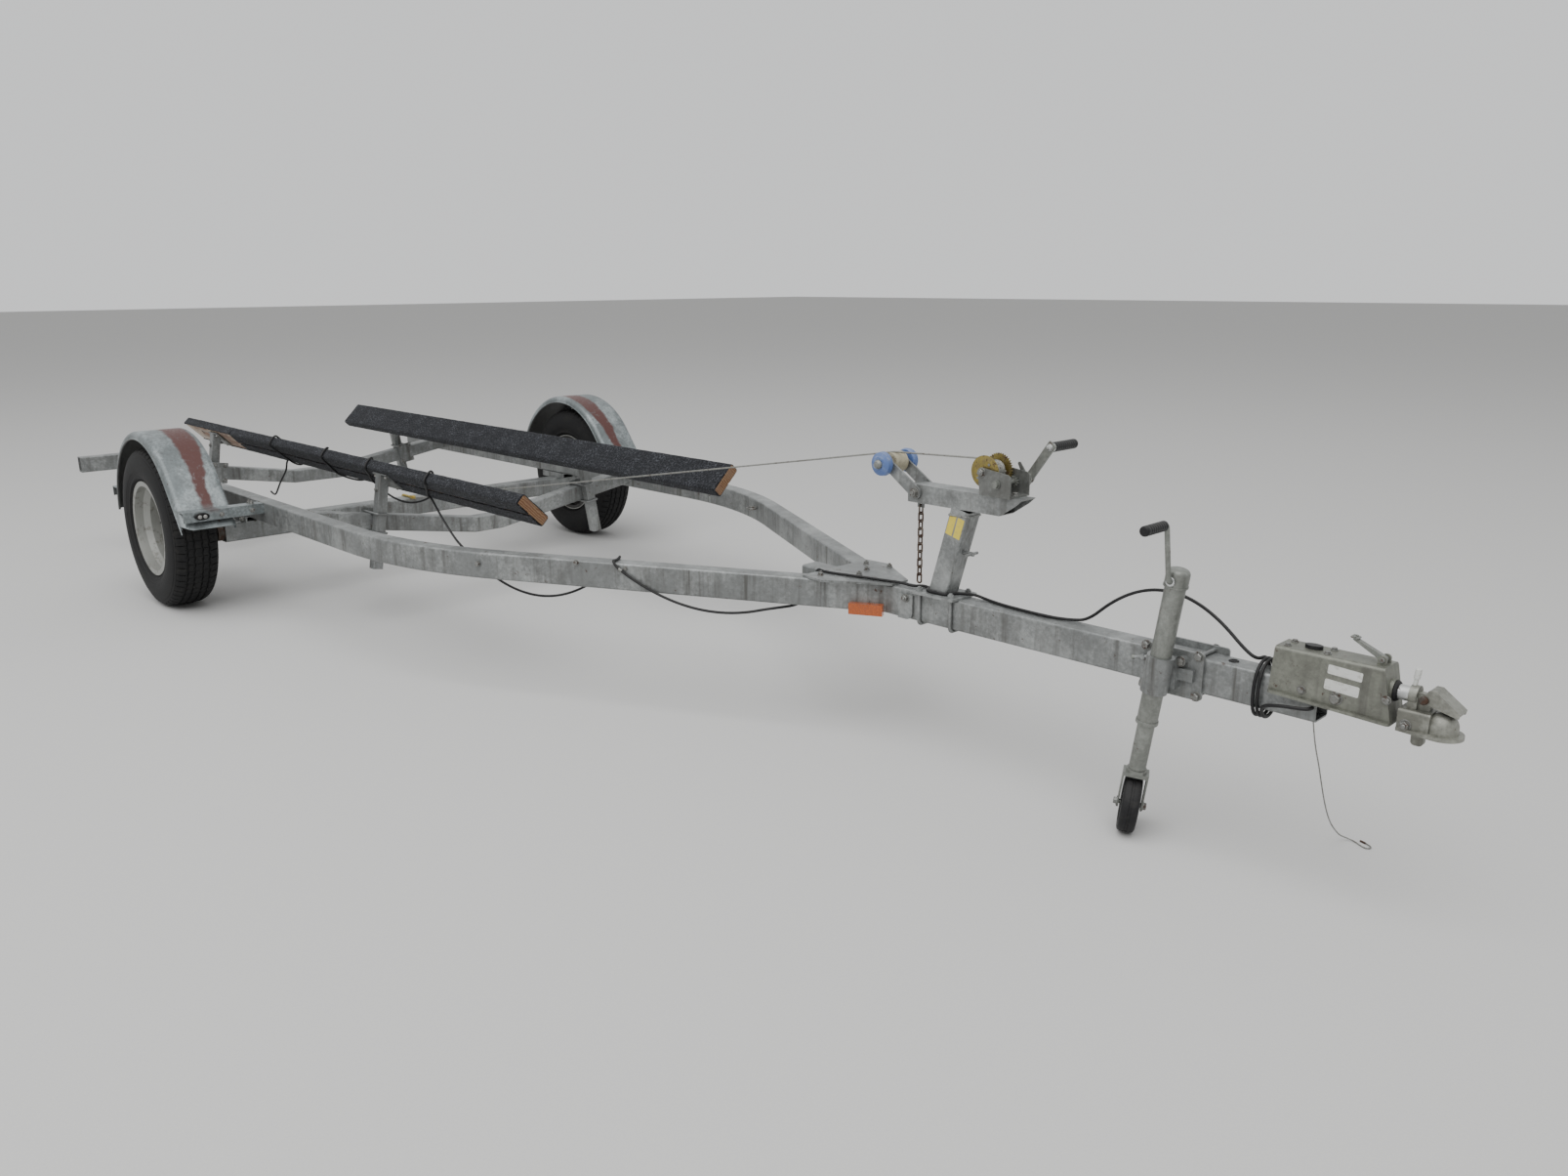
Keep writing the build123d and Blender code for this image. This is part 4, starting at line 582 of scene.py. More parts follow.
def weathered_zinc(nodes, given):
    """Mottled zinc: patches of bloom, small spangle, rain streaks on upright faces, painted shade on faces
    turned down, and rust specks.
    """
    at = nodes.object_place()
    fine = nodes.noise(at, 95.0, 5.0, 0.7)
    cells = nodes.signal("Color", "ShaderNodeTexVoronoi", {"Vector": at, "Scale": 120.0})
    spangle = nodes.signal(0, "ShaderNodeSeparateColor", {"Color": cells})
    patches = nodes.noise(at, 7.0, 5.0, 0.6) * 0.68 + fine * 0.32
    bloom = nodes.between(patches, 0.44, 0.62) * given["Bloom share"]
    colour = nodes.mix(bloom, given["Zinc"], given["Bloom"])
    value = spangle * 0.16 + fine * 0.36 + 0.74
    colour = nodes.signal(0, "ShaderNodeHueSaturation", {"Color": colour, "Value": value})
    upward = nodes.facing()[2]
    upright = nodes.between(abs(upward), 0.75, 0.3)
    streak = nodes.between(nodes.run(at, (46.0, 46.0, 2.2)), 0.42, 0.72)
    streak = streak * nodes.between(nodes.run(at, (13.0, 13.0, 1.6), 3.0), 0.3, 0.66)
    streak = streak * upright * given["Drip share"]
    colour = nodes.mix(nodes.math("MINIMUM", streak, 1.0), colour, given["Drip"])
    # Painted shade: faces turned down are darkened towards the drip colour; the patchy grime joined with it
    # is real dirt.
    below = nodes.between(upward, -0.2, -0.8) * 0.4
    grime = nodes.between(nodes.noise(at, 20.0, 6.0, 0.7), 0.4, 0.62) * 0.42 * 0.5
    colour = nodes.mix(nodes.math("MAXIMUM", below, grime), colour, given["Drip"])
    rust = nodes.between(nodes.noise(at, 34.0, 8.0, 0.75) - given["Rust share"] * 0.16, 0.36, 0.3)
    metal = nodes.math("SUBTRACT", 0.55, nodes.math("MAXIMUM", rust, streak) * 0.5, clamp=True)
    return {
        "Colour": nodes.mix(rust, colour, given["Rust"]),
        "Roughness": nodes.between(fine, 0.3, 0.7, 0.36, 0.56) + rust * 0.3,
        "Height": fine * 0.5 + nodes.noise(at, 420.0, 3.0) * 0.35,
        "Metal": metal,
    }


def scuffed(nodes, given):
    """A moulded or painted surface: fine grain, scuffs and settled dust."""
    at = nodes.object_place()
    cloud = nodes.noise(nodes.stretch(at, (1.0, 1.7, 1.3)), given["Scale"], 8.0, 0.72)
    scuffs = nodes.between(cloud, 0.5, 0.66)
    colour = nodes.mix(scuffs * given["Scuff share"], given["Colour"], given["Scuff"])
    settled = nodes.between(nodes.facing()[2], 0.1, 0.95)
    settled = settled * nodes.between(nodes.noise(at, 26.0, 6.0, 0.7), 0.3, 0.7)
    colour = nodes.mix(settled * given["Dust share"], colour, given["Dust"])
    grain = nodes.noise(at, 620.0, 3.0, 0.6)
    rough = given["Roughness"] + (grain - 0.5) * 0.25 + scuffs * 0.12
    return {"Colour": colour, "Roughness": rough, "Height": grain + scuffs}


def looped_pile(nodes, given):
    """Carpet loops in ribs along the plank: round cells, fibres across them, and worn lighter tips."""
    at = nodes.signal("UV", "ShaderNodeTexCoord")
    ribs = nodes.math("SINE", nodes.parts(at)[1] * (2 * math.pi / 0.0062))
    loops = nodes.signal("Distance", "ShaderNodeTexVoronoi", {"Vector": at, "Scale": 210.0})
    fibres = nodes.noise(nodes.stretch(at, (1.0, 1.6, 1.0)), 480.0, 4.0, 0.75)
    tips = nodes.between(fibres * 0.8 + nodes.noise(at, 120.0, 3.0), 0.84, 1.12)
    patches = nodes.between(nodes.noise(at, 14.0, 5.0, 0.7), 0.35, 0.7)
    share = tips * nodes.between(patches, 0.0, 1.0, 0.35, 1.0)
    height = fibres * 0.7 + ribs * 0.16 - loops
    return {"Colour": nodes.mix(share, given["Colour"], given["Tips"]), "Height": height}


def wood_grain(nodes, given):
    """Grain along the plank: rings stretched lengthwise, dark pores and grey weathering."""
    at = nodes.object_place()
    stretched = nodes.stretch(at, (0.9, 22.0, 22.0))
    waves = {"Vector": stretched, "Scale": 2.4, "Distortion": 5.0, "Detail": 4.0, "Detail Scale": 1.4}
    rings = nodes.signal("Fac", "ShaderNodeTexWave", waves, bands_direction="DIAGONAL")
    pores = nodes.run(at, (14.0, 420.0, 420.0), 4.0, 0.7)
    colour = nodes.mix(nodes.between(rings, 0.15, 0.85), given["Pale"], given["Dark"])
    weather = nodes.between(nodes.run(at, (3.0, 14.0, 14.0), 6.0, 0.7), 0.42, 0.66)
    colour = nodes.mix(weather * 0.75, colour, given["Grey"])
    colour = nodes.mix(nodes.between(pores, 0.6, 0.78, 0.0, 0.6), colour, given["Dark"])
    return {"Colour": colour, "Height": rings + pores}


def brushed(nodes, given):
    """Plated or bare steel: fine drawn lines, dull patches and a little rust."""
    at = nodes.object_place()
    dull = nodes.between(nodes.noise(at, 55.0, 6.0, 0.7), 0.4, 0.65)
    colour = nodes.mix(dull * given["Dull share"], given["Colour"], given["Dull"])
    rust = nodes.between(nodes.noise(at, 70.0, 8.0, 0.75) - given["Rust share"] * 0.3, 0.38, 0.3)
    return {
        "Colour": nodes.mix(rust, colour, given["Rust"]),
        "Roughness": given["Roughness"] + nodes.math("MAXIMUM", dull, rust) * 0.22,
        "Height": nodes.run(at, (40.0, 700.0, 700.0), 3.0),
        "Metal": nodes.math("SUBTRACT", 1.0, nodes.math("MAXIMUM", rust, dull * 0.55) * 0.9, clamp=True),
    }


def finish(name, group, row, dust=None, shader=None):
    """A material with its own Principled shader, fed by one effect group; plain numbers go to the shader
    itself. The row holds the group's values in the order of its labels, then the bump's strength and
    distance. What comes back is the material's nodes, the group's outputs and the shader's inputs, for what a
    finish adds."""
    *values, bump, distance = row
    material = bpy.data.materials.get(name) or bpy.data.materials.new(name)
    material.use_nodes = True
    material.node_tree.nodes.clear()
    nodes = Nodes(material.node_tree)
    surface = nodes.add("ShaderNodeGroup", node_tree=group)
    for label, value in zip(LABELS[group.name], values):
        nodes.feed(surface.inputs[label], value)
    if dust:
        nodes.feed(surface.inputs["Dust"], dust)
    given = {socket.name: Signal(nodes, socket) for socket in surface.outputs}
    principled = nodes.add("ShaderNodeBsdfPrincipled")
    nodes.add("ShaderNodeOutputMaterial", {0: Signal(nodes, principled.outputs[0])})
    for label, socket in (("Colour", "Base Color"), ("Roughness", "Roughness"), ("Metal", "Metallic")):
        if label in given:
            nodes.feed(principled.inputs[socket], given[label])
    relief = {"Height": given["Height"], "Strength": bump, "Distance": distance}
    nodes.feed(principled.inputs["Normal"], nodes.signal(0, "ShaderNodeBump", relief))
    for label, value in (shader or {}).items():
        nodes.feed(principled.inputs[label], value)
    return nodes, given, principled.inputs


class TRAILER_OT_finishes(bpy.types.Operator):
    """Makes the effect groups and every material, and dresses the carried nodes in them."""

    bl_idname = "trailer.finishes"
    bl_label = "Finishes"

    def execute(self, context):
        zinc = context.scene.trailer_zinc
        bare, bloom, rust = tuple(zinc.zinc), tuple(zinc.bloom), tuple(zinc.rust)
        defaults = {"Zinc": bare, "Bloom": bloom, "Drip": tuple(zinc.drip_and_shade), "Rust": rust}
        defaults.update({"Bloom share": 0.7, "Drip share": 1.0, "Rust share": 0.0})
        coat = effect("weathered zinc", defaults, weathered_zinc)
        grey, pale_dust = (0.3, 0.3, 0.3), (0.34, 0.32, 0.28)
        defaults = {"Colour": (0.1, 0.1, 0.1), "Scuff": grey, "Dust": pale_dust, "Scuff share": 0.5}
        defaults.update({"Dust share": 0.3, "Scale": 60.0, "Roughness": 0.5})
        moulded = effect("scuffed surface", defaults, scuffed)
        defaults = {"Colour": (0.5, 0.5, 0.5), "Dull": grey, "Rust": rust}
        defaults.update({"Dull share": 0.6, "Rust share": 0.0, "Roughness": 0.35})
        metal = effect("brushed metal", defaults, brushed)
        self.plain(coat, moulded, metal, bare, bloom)
        self.fender(coat, tuple(zinc.band))
        self.rim(moulded)
        for name, colour in (("orange_lens", (0.6, 0.12, 0.012)), ("clear_lens", (0.42, 0.42, 0.4))):
            self.lens(name, colour, moulded)
        self.carpet(tuple(context.scene.trailer_carpet.colour))
        self.wood()
        self.dress()
        return {"FINISHED"}

    def plain(self, coat, paint, metal, bare, bloom):
        """The finishes that add nothing to their group: each one's row, the colour of its dust and its
        shader's specular level where these differ."""
        soot, grime, black = (0.011, 0.011, 0.012), (0.04, 0.039, 0.037), (0.0105, 0.0105, 0.011)
        rows = {
            "galvanised": (coat, bare, bloom, 0.7, 1.0, 0.15, 0.22, 0.0006),
            "winch_zinc": (coat, (0.17, 0.175, 0.165), (0.3, 0.31, 0.3), 0.4, 0.6, 0.15, 0.2, 0.0005),
            "cast_head": (coat, (0.2, 0.205, 0.175), (0.31, 0.32, 0.275), 0.5, 0.6, 0.2, 0.3, 0.0008),
            "zinc_steel": (coat, (0.23, 0.24, 0.22), (0.37, 0.38, 0.355), 0.5, 0.5, 0.15, 0.18, 0.0005),
            "weathered_cast": (coat, (0.19, 0.19, 0.165), (0.4, 0.405, 0.36), 0.75, 0.6, 0.1, 0.3, 0.0008),
            "weld": (coat, (0.26, 0.265, 0.25), bloom, 0.3, 0.4, 0.5, 0.4, 0.0006),
            "tyre": (paint, black, (0.03, 0.029, 0.027), 0.7, 0.08, 18.0, 0.68, 0.25, 0.0006),
            "blue_plastic": (paint, (0.1, 0.17, 0.4), (0.3, 0.37, 0.52), 0.8, 0.4, 30.0, 0.48, 0.12, 0.0003),
            "roller_rubber": (
                paint, (0.5, 0.46, 0.33), (0.16, 0.13, 0.09), 0.7, 0.2, 40.0, 0.55, 0.2, 0.0005,
            ),
            "black_plastic": (paint, soot, grime, 0.5, 0.05, 50.0, 0.42, 0.15, 0.0003),
            "black_rubber": (paint, soot, grime, 0.5, 0.05, 50.0, 0.6, 0.15, 0.0003),
            "cable_black": (paint, soot, grime, 0.5, 0.05, 50.0, 0.5, 0.15, 0.0003),
            "reflective_tape": (
                paint, (0.78, 0.62, 0.08), (0.5, 0.42, 0.16), 0.5, 0.1, 80.0, 0.35, 0.1, 0.0002,
            ),
            "white_label": (paint, (0.72, 0.73, 0.7), (0.42, 0.41, 0.36), 0.6, 0.2, 70.0, 0.45, 0.08, 0.0002),
            "dark_steel": (metal, (0.12, 0.11, 0.1), (0.07, 0.055, 0.045), 0.8, 0.5, 0.5, 0.3, 0.0006),
            "yellow_zinc": (metal, (0.34, 0.27, 0.085), (0.17, 0.135, 0.07), 0.75, 0.35, 0.36, 0.12, 0.0003),
            "hook_zinc": (metal, (0.56, 0.42, 0.1), (0.36, 0.29, 0.12), 0.4, 0.1, 0.38, 0.12, 0.0003),
            "bright_steel": (metal, (0.62, 0.63, 0.63), (0.4, 0.4, 0.39), 0.5, 0.1, 0.22, 0.12, 0.0003),
            "chain_steel": (metal, (0.17, 0.14, 0.115), (0.1, 0.075, 0.055), 0.8, 0.5, 0.5, 0.12, 0.0003),
            "wire_steel": (metal, (0.34, 0.34, 0.32), (0.2, 0.2, 0.18), 0.7, 0.2, 0.4, 0.12, 0.0003),
            "fastener": (metal, (0.27, 0.275, 0.265), (0.16, 0.155, 0.14), 0.7, 0.3, 0.42, 0.12, 0.0003),
        }
        dusts = {"tyre": (0.09, 0.082, 0.07), "blue_plastic": (0.5, 0.53, 0.57)}
        dim = {"tyre": 0.28, "black_plastic": 0.32, "black_rubber": 0.32, "cable_black": 0.32}
        for name, (group, *row) in rows.items():
            shader = {"Specular IOR Level": dim[name]} if name in dim else None
            finish(name, group, row, dusts.get(name), shader)

    def fender(self, coat, band_colour):
        """The fender's zinc with its band: the share of band is high where the distance across the fender,
        wavered by noise, is within the band's half width, which widens towards the crown. The inside, facing
        the tyre, is darkened as painted shade."""
        row = ((0.19, 0.215, 0.22), (0.38, 0.42, 0.43), 0.9, 0.45, 0.1, 0.2, 0.0006)
        nodes, given, shader = finish("fender_zinc", coat, row)
        at = nodes.object_place()
        x, y, z = nodes.parts(at)
        waver = (nodes.noise(at, 16.0, 5.0, 0.65) - 0.5) * 0.036
        middle = nodes.between(z, 0.5, 0.7, 0.984, 0.965)
        half = nodes.between(z, 0.5, 0.71, 0.02, 0.042)
        band = nodes.between(abs(abs(y) + waver - middle) - half, 0.008, -0.006)
        band = band * nodes.between(nodes.noise(at, 38.0, 7.0, 0.7), 0.3, 0.46, 0.55, 1.0)
        band = band * nodes.between(z, 0.43, 0.47) * nodes.between(x, AXLE[0] - 0.16, AXLE[0] - 0.06)
        facing_x, _, facing_z = nodes.facing()
        outward = (x - float(AXLE[0])) * facing_x + (z - float(TYRE_RADIUS)) * facing_z
        band = band * nodes.between(outward, 0.02, 0.1)
        # Painted shade: the fender's inside, facing the tyre, is darkened nearly to black and made less
        # metallic.
        inner = nodes.between(outward, -0.02, -0.1)
        colour = nodes.mix(band, given["Colour"], band_colour)
        nodes.feed(shader["Base Color"], nodes.mix(inner * 0.8, colour, (0.055, 0.053, 0.05)))
        dull = nodes.math("SUBTRACT", given["Metal"], nodes.math("MAXIMUM", band, inner) * 0.45, clamp=True)
        nodes.feed(shader["Metallic"], dull)

    def rim(self, moulded):
        """Silver paint, with painted shade: all that lies behind the disc's face, the vents too, is dark. The
        face's crown stands at a radius and a distance across, and falls away from it by the square of the
        distance from that radius."""
        crown_radius, crown_across, fall_rate = 0.128, 0.9993, 15.6
        row = ((0.34, 0.345, 0.325), (0.15, 0.14, 0.12), 0.7, 0.15, 22.0, 0.45, 0.12, 0.0004)
        nodes, given, shader = finish("rim_silver", moulded, row, shader={"Metallic": 0.3})
        at = nodes.object_place()
        apart = {0: at, 1: place(0, 0, TYRE_RADIUS)}
        from_axle = nodes.signal(0, "ShaderNodeVectorMath", apart, operation="SUBTRACT")
        flat = nodes.stretch(from_axle, (1.0, 0.0, 1.0))
        radius = nodes.signal("Value", "ShaderNodeVectorMath", {0: flat}, operation="LENGTH")
        off_crown = radius - crown_radius
        depth = crown_across - off_crown * off_crown * fall_rate - abs(nodes.parts(at)[1])
        # Painted shade: the depth behind the disc's face, wavered by noise, darkens the vents and all behind
        # the crown.
        inward = nodes.between(depth + nodes.noise(at, 60.0, 5.0, 0.7) * 0.004, 0.005, 0.0105)
        nodes.feed(shader["Base Color"], nodes.mix(inward, given["Colour"], (0.022, 0.02, 0.018)))

    def lens(self, name, colour, moulded):
        """A glossy lens with small prisms in rows behind its face."""
        scuff, shadow = (tuple(share * c for c in colour) for share in (0.55, 0.35))
        row = (colour, scuff, 0.4, 0.12, 60.0, 0.2, 0.1, 0.0003)
        gloss = {"Coat Weight": 0.6, "Coat Roughness": 0.08}
        nodes, given, shader = finish(name, moulded, row, shader=gloss)
        cells = {"Vector": nodes.object_place(), "Scale": 260.0}
        prisms = nodes.signal("Distance", "ShaderNodeTexVoronoi", cells, distance="CHEBYCHEV")
        share = nodes.between(prisms, 0.1, 0.5, 0.0, 0.5)
        nodes.feed(shader["Base Color"], nodes.mix(share, given["Colour"], shadow))

    def carpet(self, colour):
        """Nearly black loops that hardly shine."""
        pile = effect("looped pile", {"Colour": (0.03, 0.03, 0.03), "Tips": (0.12, 0.12, 0.12)}, looped_pile)
        shader = {"Roughness": 0.95, "Specular IOR Level": 0.12, "Sheen Weight": 0.08, "Sheen Roughness": 0.6}
        finish("carpet", pile, (colour, (0.12, 0.127, 0.145), 0.9, 0.0016), shader=shader)

    def wood(self):
        """Planks, brown where the carpet keeps them and pale with pinkish stains where it is gone."""
        defaults = {"Pale": (0.5, 0.33, 0.18), "Dark": (0.2, 0.1, 0.04), "Grey": (0.3, 0.27, 0.23)}
        grain = effect("wood grain", defaults, wood_grain)
        row = ((0.56, 0.45, 0.35), (0.3, 0.17, 0.11), (0.5, 0.45, 0.39), 0.5, 0.0007)
        nodes, given, shader = finish("wood", grain, row, shader={"Roughness": 0.78})
        at = nodes.object_place()
        kept = nodes.between(nodes.parts(at)[0], -2.2, -1.9)
        brown = nodes.mix(kept, given["Colour"], (0.5, 0.37, 0.25), blend="MULTIPLY")
        spots = nodes.noise(nodes.stretch(at, (1.0, 2.5, 2.5)), 9.0, 6.0, 0.7)
        stain = nodes.between(spots, 0.48, 0.68, 0.0, 0.7)
        nodes.feed(shader["Base Color"], nodes.mix(stain, brown, (0.2, 0.105, 0.07)))

    def dress(self):
        """Gives each carried node its material by its slot in the record, or a finish of its own."""
        own = {
            "fender_left": "fender_zinc", "fender_right": "fender_zinc", "winch_frame": "winch_zinc",
            "position_lamps": "black_plastic", "coupling_head": "weathered_cast",
            "coupling_handle": "weathered_cast",
        }
        for node, obj in frame["nodes"].items():
            finish_of_node = bpy.data.materials[own.get(node, SLOTS[node])]
            if not obj.data.materials:
                obj.data.materials.append(finish_of_node)
            for index in range(len(obj.data.materials)):
                obj.data.materials[index] = finish_of_node


# ---------------------------------------------------------------- wheels


class TRAILER_OT_tyres(bpy.types.Operator):
    """Tyres with a worn road tread in place of the plain rings."""

    bl_idname = "trailer.tyres"
    bl_label = "Tyres"

    def execute(self, context):
        settings = context.scene.trailer_tyre
        width, radius, cut, slot, sipe, zig = (column[:, None] for column in self.across(settings))
        angles, slot_share, sipe_share = self.around(settings)
        wave = np.abs(((angles * settings.pitches / np.pi) % 2) - 1) - 0.5
        hollow = np.maximum(np.maximum(cut, slot * slot_share), 0.6 * sipe * sipe_share)
        reach = radius - settings.groove_depth * hollow
        over = width + zig * wave * 0.0042
        x, z = AXLE[0] + reach * np.cos(angles), TYRE_RADIUS + reach * np.sin(angles)
        for side, sign in SIDES:
            shell = grid(np.stack([x, sign * (TYRE_MIDDLE + over), z], axis=-1), around=True, closed=True)
            make("road_tyre_" + side, [shell], "tyre", "wheel_" + side, ["tyre_" + side], sharp=28)
        return {"FINISHED"}

    def across(self, settings):
        """Rows over the section: place across, radius, and how much groove, slot, sipe and zigzag each takes.
        The crown is an arc, the walls a smooth curve through the ring's own outline, with fine raised rings
        on it."""
        half, slope = settings.groove_width / 2, 0.0012
        grooves = []
        for centre in (0.0155, 0.0405):
            near, far = centre - half, centre + half
            grooves.append([(near - slope, 0), (near, 0), (near + slope, 1), (centre, 1)])
            grooves[-1] += [(far - slope, 1), (far, 0), (far + slope, 0)]
        spots = [(0.0, 0), (0.004, 0), (0.008, 0), *grooves[0], (0.028, 0), *grooves[1]]
        rows = []
        for over, cut in spots + [(0.05, 0), (0.056, 0), (0.0615, 0)]:
            shoulder = over > 0.0455
            drop = 0.0022 * (over / 0.056) ** 2 + 30 * max(0.0, over - 0.05) ** 2
            sipe = not (cut or shoulder)
            rows.append((over, TYRE_RADIUS - drop, cut, shoulder, sipe, 0.006 < over < 0.047))
        wall = [
            (65.5, 317.8), (71.5, 314.6), (75.5, 310.8), (77.5, 307.2), (79.2, 306.8), (81.5, 301.2),
            (83.5, 296.2), (84.6, 295.8), (85.6, 292.5), (87.2, 288), (88.8, 281.5), (90.3, 274.5),
            (91.5, 267.5), (92.4, 260.5), (92.8, 253.5), (92.8, 246.5), (92.4, 239.5), (91.6, 233),
            (91.5, 232.2), (90.8, 231.8), (89.8, 226.2), (88.5, 221.2), (86.8, 216.2), (86.2, 212.2),
            (86.8, 208.8), (86.2, 206.2), (83.8, 203.8), (79.5, 201.2), (75.5, 198.5), (73, 195),
            (72, 190), (72, 183.5), (71.5, 178.8), (60, 178.35), (30, 178.35),
        ]
        slots = {65.5: 1.0, 71.5: 0.9, 75.5: 0.6, 77.5: 0.25}
        rows += [(over / 1000, radius / 1000, 0, slots.get(over, 0), 0, 0) for over, radius in wall]
        rows = np.array(rows, float)
        return np.concatenate([rows[:0:-1] * [-1, 1, 1, 1, 1, 1], rows]).T

    def around(self, settings):
        """Angles round the tyre: in each pitch one wide slot and one thin sipe, with steep walls."""
        steps = np.array([0.0, 0.1, 0.125, 0.225, 0.25, 0.42, 0.6, 0.615, 0.65, 0.665, 0.84])
        slot, sipe = np.isin(steps, (0.125, 0.225)), np.isin(steps, (0.615, 0.65))
        angles = ((np.arange(settings.pitches)[:, None] + steps) / settings.pitches * 2 * np.pi).ravel()
        return angles, np.tile(slot, settings.pitches), np.tile(sipe, settings.pitches)


class TRAILER_OT_wheel_parts(bpy.types.Operator):
    """Wheel nuts, grease caps and valves."""

    bl_idname = "trailer.wheel_parts"
    bl_label = "Wheel parts"

    def execute(self, context):
        face, bolt_circle = 0.9643, 0.056
        seat = mm((-1, 0), (-1, 13.5), (1.5, 12.5), (5, 8.5), (5, 0))
        nut = mm((3, 0), (3, 10.95), (15, 10.95), (17.5, 9.2), (19.5, 6), (20, 0))
        cap = mm(
            (-4, 0), (-4, 31.5), (1.5, 31.8), (2.2, 29.2), (11, 28.8), (16.5, 26.8), (20.5, 22.5), (22.5, 16),
            (22.2, 13.5), (23.5, 12), (24, 6), (24, 0),
        )
        stem = mm(
            (-4, 0), (-4, 6.5), (1, 6.8), (3, 5), (20, 4.2), (21.5, 4.6), (30.5, 4.6), (32, 3.8), (32, 0),
        )
        for side, sign in SIDES:
            body, out = "wheel_" + side, (0, sign, 0)
            nuts = []
            for angle in np.radians(np.arange(5) * 72 + 18):
                x, z = bolt_circle * math.cos(angle), TYRE_RADIUS + bolt_circle * math.sin(angle)
                at = place(x, sign * face, z)
                nuts += [turned(seat, at, out, 20), turned(nut, at, out, 6, start=angle)]
            make("wheel_nuts_" + side, nuts, "fastener", body)
            hub = place(0, sign * (face + 0.024), TYRE_RADIUS)
            make("grease_cap_" + side, [turned(cap, hub, out, 40)], "zinc_steel", body)
            valve = place(0.152, sign * (TYRE_MIDDLE + 0.044), TYRE_RADIUS + 0.047)
            make("tyre_valve_" + side, [turned(stem, valve, (-0.34, sign, -0.1), 16)], "black_rubber", body)
        return {"FINISHED"}


# ---------------------------------------------------------------- bunks


def on_bunk(x, up_across, outward, sign):
    """A point at a bunk: up across the plank, and out from its underside."""
    across = up_across * math.cos(BUNK_TIP) + outward * math.sin(BUNK_TIP)
    rise = up_across * math.sin(BUNK_TIP) - outward * math.cos(BUNK_TIP)
    return np.stack(np.broadcast_arrays(x, sign * (BUNK_Y + across), BUNK_Z + rise), axis=-1)


def below_bunk(sign):
    """The direction out of a bunk's underside."""
    return on_bunk(0, 0, 1, sign) - on_bunk(0, 0, 0, sign)


class TRAILER_OT_carpets(bpy.types.Operator):
    """Carpet stretched round each bunk plank, joined below, and worn away under the right one's rear."""

    bl_idname = "trailer.carpets"
    bl_label = "Carpets"

    def execute(self, context):
        settings = context.scene.trailer_carpet
        low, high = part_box("bunk_carpet_left")
        for side, sign in SIDES:
            bare = settings.bare_length if side == "right" else 0.0
            piece, area, flat = self.sleeve(side, sign, low[0], high[0], bare, settings)
        return {"FINISHED"}

    def sleeve(self, side, sign, rear, front, bare, settings):
        """The cloth as a grid over the length and the way round: the way round is a rounded rectangle's
        outline, measured from a seam below, and its ends draw back to the lower edges where the wood is bare.
        Points stand out by a smooth wobble, and the first covered stretch after the bare wood sags."""
        up, out = 0.0655, 0.0215
        loop, run = self.loop(up, out)
        total = run[-1]
        lengths = np.linspace(rear, front, 300)
        start, end = np.full(lengths.shape, 0.006), np.full(lengths.shape, total - 0.004)
        if bare:
            gone = lengths < rear + bare + 0.006 * np.sin(np.linspace(0, 9, len(lengths)))
            spot = lengths[:, None]
            ragged = 0.0022 * wobble(spot, 0.007, 5) + 0.0014 * wobble(spot, 0.0022, 6)
            edge = up - 0.0045
            start, end = np.where(gone, edge + ragged, start), np.where(gone, total - edge - ragged, end)
        way = start[:, None] + (end - start)[:, None] * np.linspace(0, 1, 64)
        u, v = (np.interp(way, run, loop[:, axis]) for axis in (0, 1))
        x = np.broadcast_to(lengths[:, None], way.shape)
        spot = np.stack([x, u, v], axis=-1)
        puff = settings.pile * (wobble(spot, 0.011, 1) + wobble(spot, 0.004, 2))
        puff = puff + 0.0011 * wobble(spot, 0.06, 3)
        size = np.hypot(u / up, v / out) + 1e-9
        if bare:
            slack = np.exp(-np.clip(x - (rear + bare), 0, None) / 0.07) * (x > rear + bare - 0.002)
            puff = puff + 0.007 * slack * np.clip(v / out, 0, 1) * np.clip(1 - np.abs(u / up), 0, 1)
        out_u, out_v = u / up / size * 0.35, v / out / size
        points, quads = grid(on_bunk(x, u + puff * out_u, v + puff * out_v, sign))
        shells = [(points, quads[:, ::sign])]
        uv = np.stack([x, way], axis=-1).reshape(-1, 2)
        piece = make("carpet_" + side, shells, "carpet", "chassis", ["bunk_carpet_" + side], 0, False, uv)
        solid = piece.modifiers.new("thickness", "SOLIDIFY")
        solid.thickness = settings.thickness
        solid.offset = -1
        width, length = float(total), float(front - rear)
        area = width * length - bare * 2 * (up - 0.012) if bare else None
        return piece, area, (width, length)

    def loop(self, up, out):
        """A rounded rectangle's outline in order of its angle round the plank, from the middle of its
        underside and back, and how far along it each point lies."""
        outline = rounded(2 * up, 2 * out, 0.008, 6)
        angle = np.mod(np.arctan2(outline[:, 0], outline[:, 1]), 2 * np.pi)
        middle = [[0.0, out]]
        path = np.concatenate([middle, outline[np.argsort(angle)], middle])
        return path, measured(path)


# ---------------------------------------------------------------- cords


def sagging(start, end, sag, count):
    """Points between two held points of a cord: start + s * (end - start), lowered by 4 s (1 - s) * sag."""
    share = np.arange(1, count + 1)[:, None] / (count + 1)
    start = np.asarray(start, float)
    return start + share * (end - start) - 4 * share * (1 - share) * [0, 0, sag]


def level(x, z, *rows):
    """Points at one height, each given by its way on and across from x, in millimetres."""
    return np.column_stack([mm(*rows) + [x, 0], np.full(len(rows), z)])


def by_rail(x, aside, z):
    """A point beside the slanted part of the right rail, measured outward from its middle."""
    return np.array([x, -((RAIL_NOSE - x) * math.tan(RAIL_TURN) + aside / math.cos(RAIL_TURN)), z])


